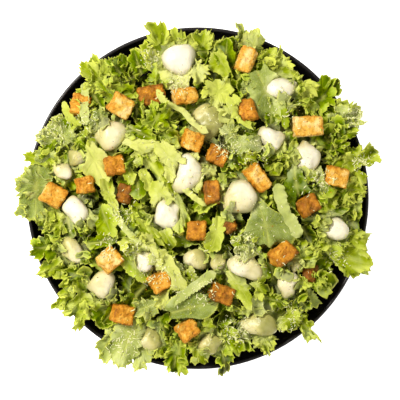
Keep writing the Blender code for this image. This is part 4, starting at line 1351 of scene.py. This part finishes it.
cheese = bitsMaterial("gratedCheese", (400, 0.3, 0.7), (224, 222, 152), (246, 245, 202), (2500, 0.1), 0.5)
pepper = bitsMaterial("crackedPepper", (500, 0.4, 0.6), (36, 30, 22), (78, 66, 44), (3000, 0.1), 0.6)
makeShreds(cheese)
chance = np.random.default_rng(80)
makeGrains("cheeseGrains", patchPlaces(cheesePatches, chance, 2.0), (0.18, 0.46), 0.7, cheese, "dressing", chance)
pepperPlaces = patchPlaces(aroundToppings(dollops, 0.85, 5) + [(0, 0, 105, 60)], chance)
makeGrains("crackedPepper", pepperPlaces, (0.13, 0.32), 0.6, pepper, "dressing", chance)
crumbPlaces = patchPlaces(aroundToppings(toppingSpots(croutonNodes), 2.1, 6), chance, 0.5)
makeGrains("breadCrumbs", crumbPlaces, (0.25, 0.6), 0.8, toastedBread, "crouton", chance,
           (("crust", 0, 1), ("toast", 0, 1), ("pit", 0, 0.4), ("tone", 0, 1)))
print("scattered bits")

# The studio: each lamp's power, size and place, all aimed at the same height over the middle.
studioLook = {"around": 0.22, "aroundColour": (1.0, 0.985, 0.88, 1), "lampColour": (1.0, 0.975, 0.88), "aim": 0.06,
              "lamps": {"key": (20.2, 0.42, (-0.62, 0.42, 1.15)), "fill": (6.0, 1.2, (0.8, -0.5, 0.9)),
                        "side": (2.2, 0.3, (-0.85, -0.42, 0.75))},
              "floor": 3.0, "floorGlow": 1.0, "lens": 128.5, "eye": (0.00154, -0.00126, 1.0)}


def linked(name, data, place=(0, 0, 0)):  # an object in the scene
    made = bpy.data.objects.new(name, data)
    made.location = place
    bpy.context.scene.collection.objects.link(made)
    return made


def studio():
    # A big soft light up and to the left, a weaker one on the far side, pale surroundings and a pale floor,
    # and a camera straight above.
    scene = bpy.context.scene
    scene.view_settings.view_transform = "Standard"
    scene.view_settings.look = "None"
    scene.world = bpy.data.worlds.new("studio")
    scene.world.use_nodes = True
    put(scene.world.node_tree.nodes["Background"],
        {"Color": studioLook["aroundColour"], "Strength": studioLook["around"]})
    for name, (energy, size, place) in studioLook["lamps"].items():
        lamp = bpy.data.lights.new(name, "AREA")
        lamp.energy = energy
        lamp.color = studioLook["lampColour"]
        lamp.shape = "DISK"
        lamp.size = size
        aim = Vector((0, 0, studioLook["aim"])) - Vector(place)
        linked(name, lamp, place).rotation_euler = aim.to_track_quat("-Z", "Y").to_euler()
    material, _, shader, _ = newMaterial("paleFloor")
    put(shader, {"Base Color": (0.9, 0.9, 0.9, 1), "Roughness": 0.9, "Emission Color": (1, 1, 1, 1),
                 "Emission Strength": studioLook["floorGlow"]})
    mesh = bpy.data.meshes.new("floor")
    half = studioLook["floor"]
    mesh.from_pydata([(-half, -half, 0), (half, -half, 0), (half, half, 0), (-half, half, 0)], [], [(0, 1, 2, 3)])
    mesh.materials.append(material)
    linked("floor", mesh)
    camera = bpy.data.cameras.new("camera")
    camera.lens = studioLook["lens"]
    camera.sensor_width = 36
    camera.clip_start = 0.05
    camera.clip_end = 20
    scene.camera = linked("camera", camera, Vector(studioLook["eye"]) + Vector((0, 0, rimHeight)))


studio()
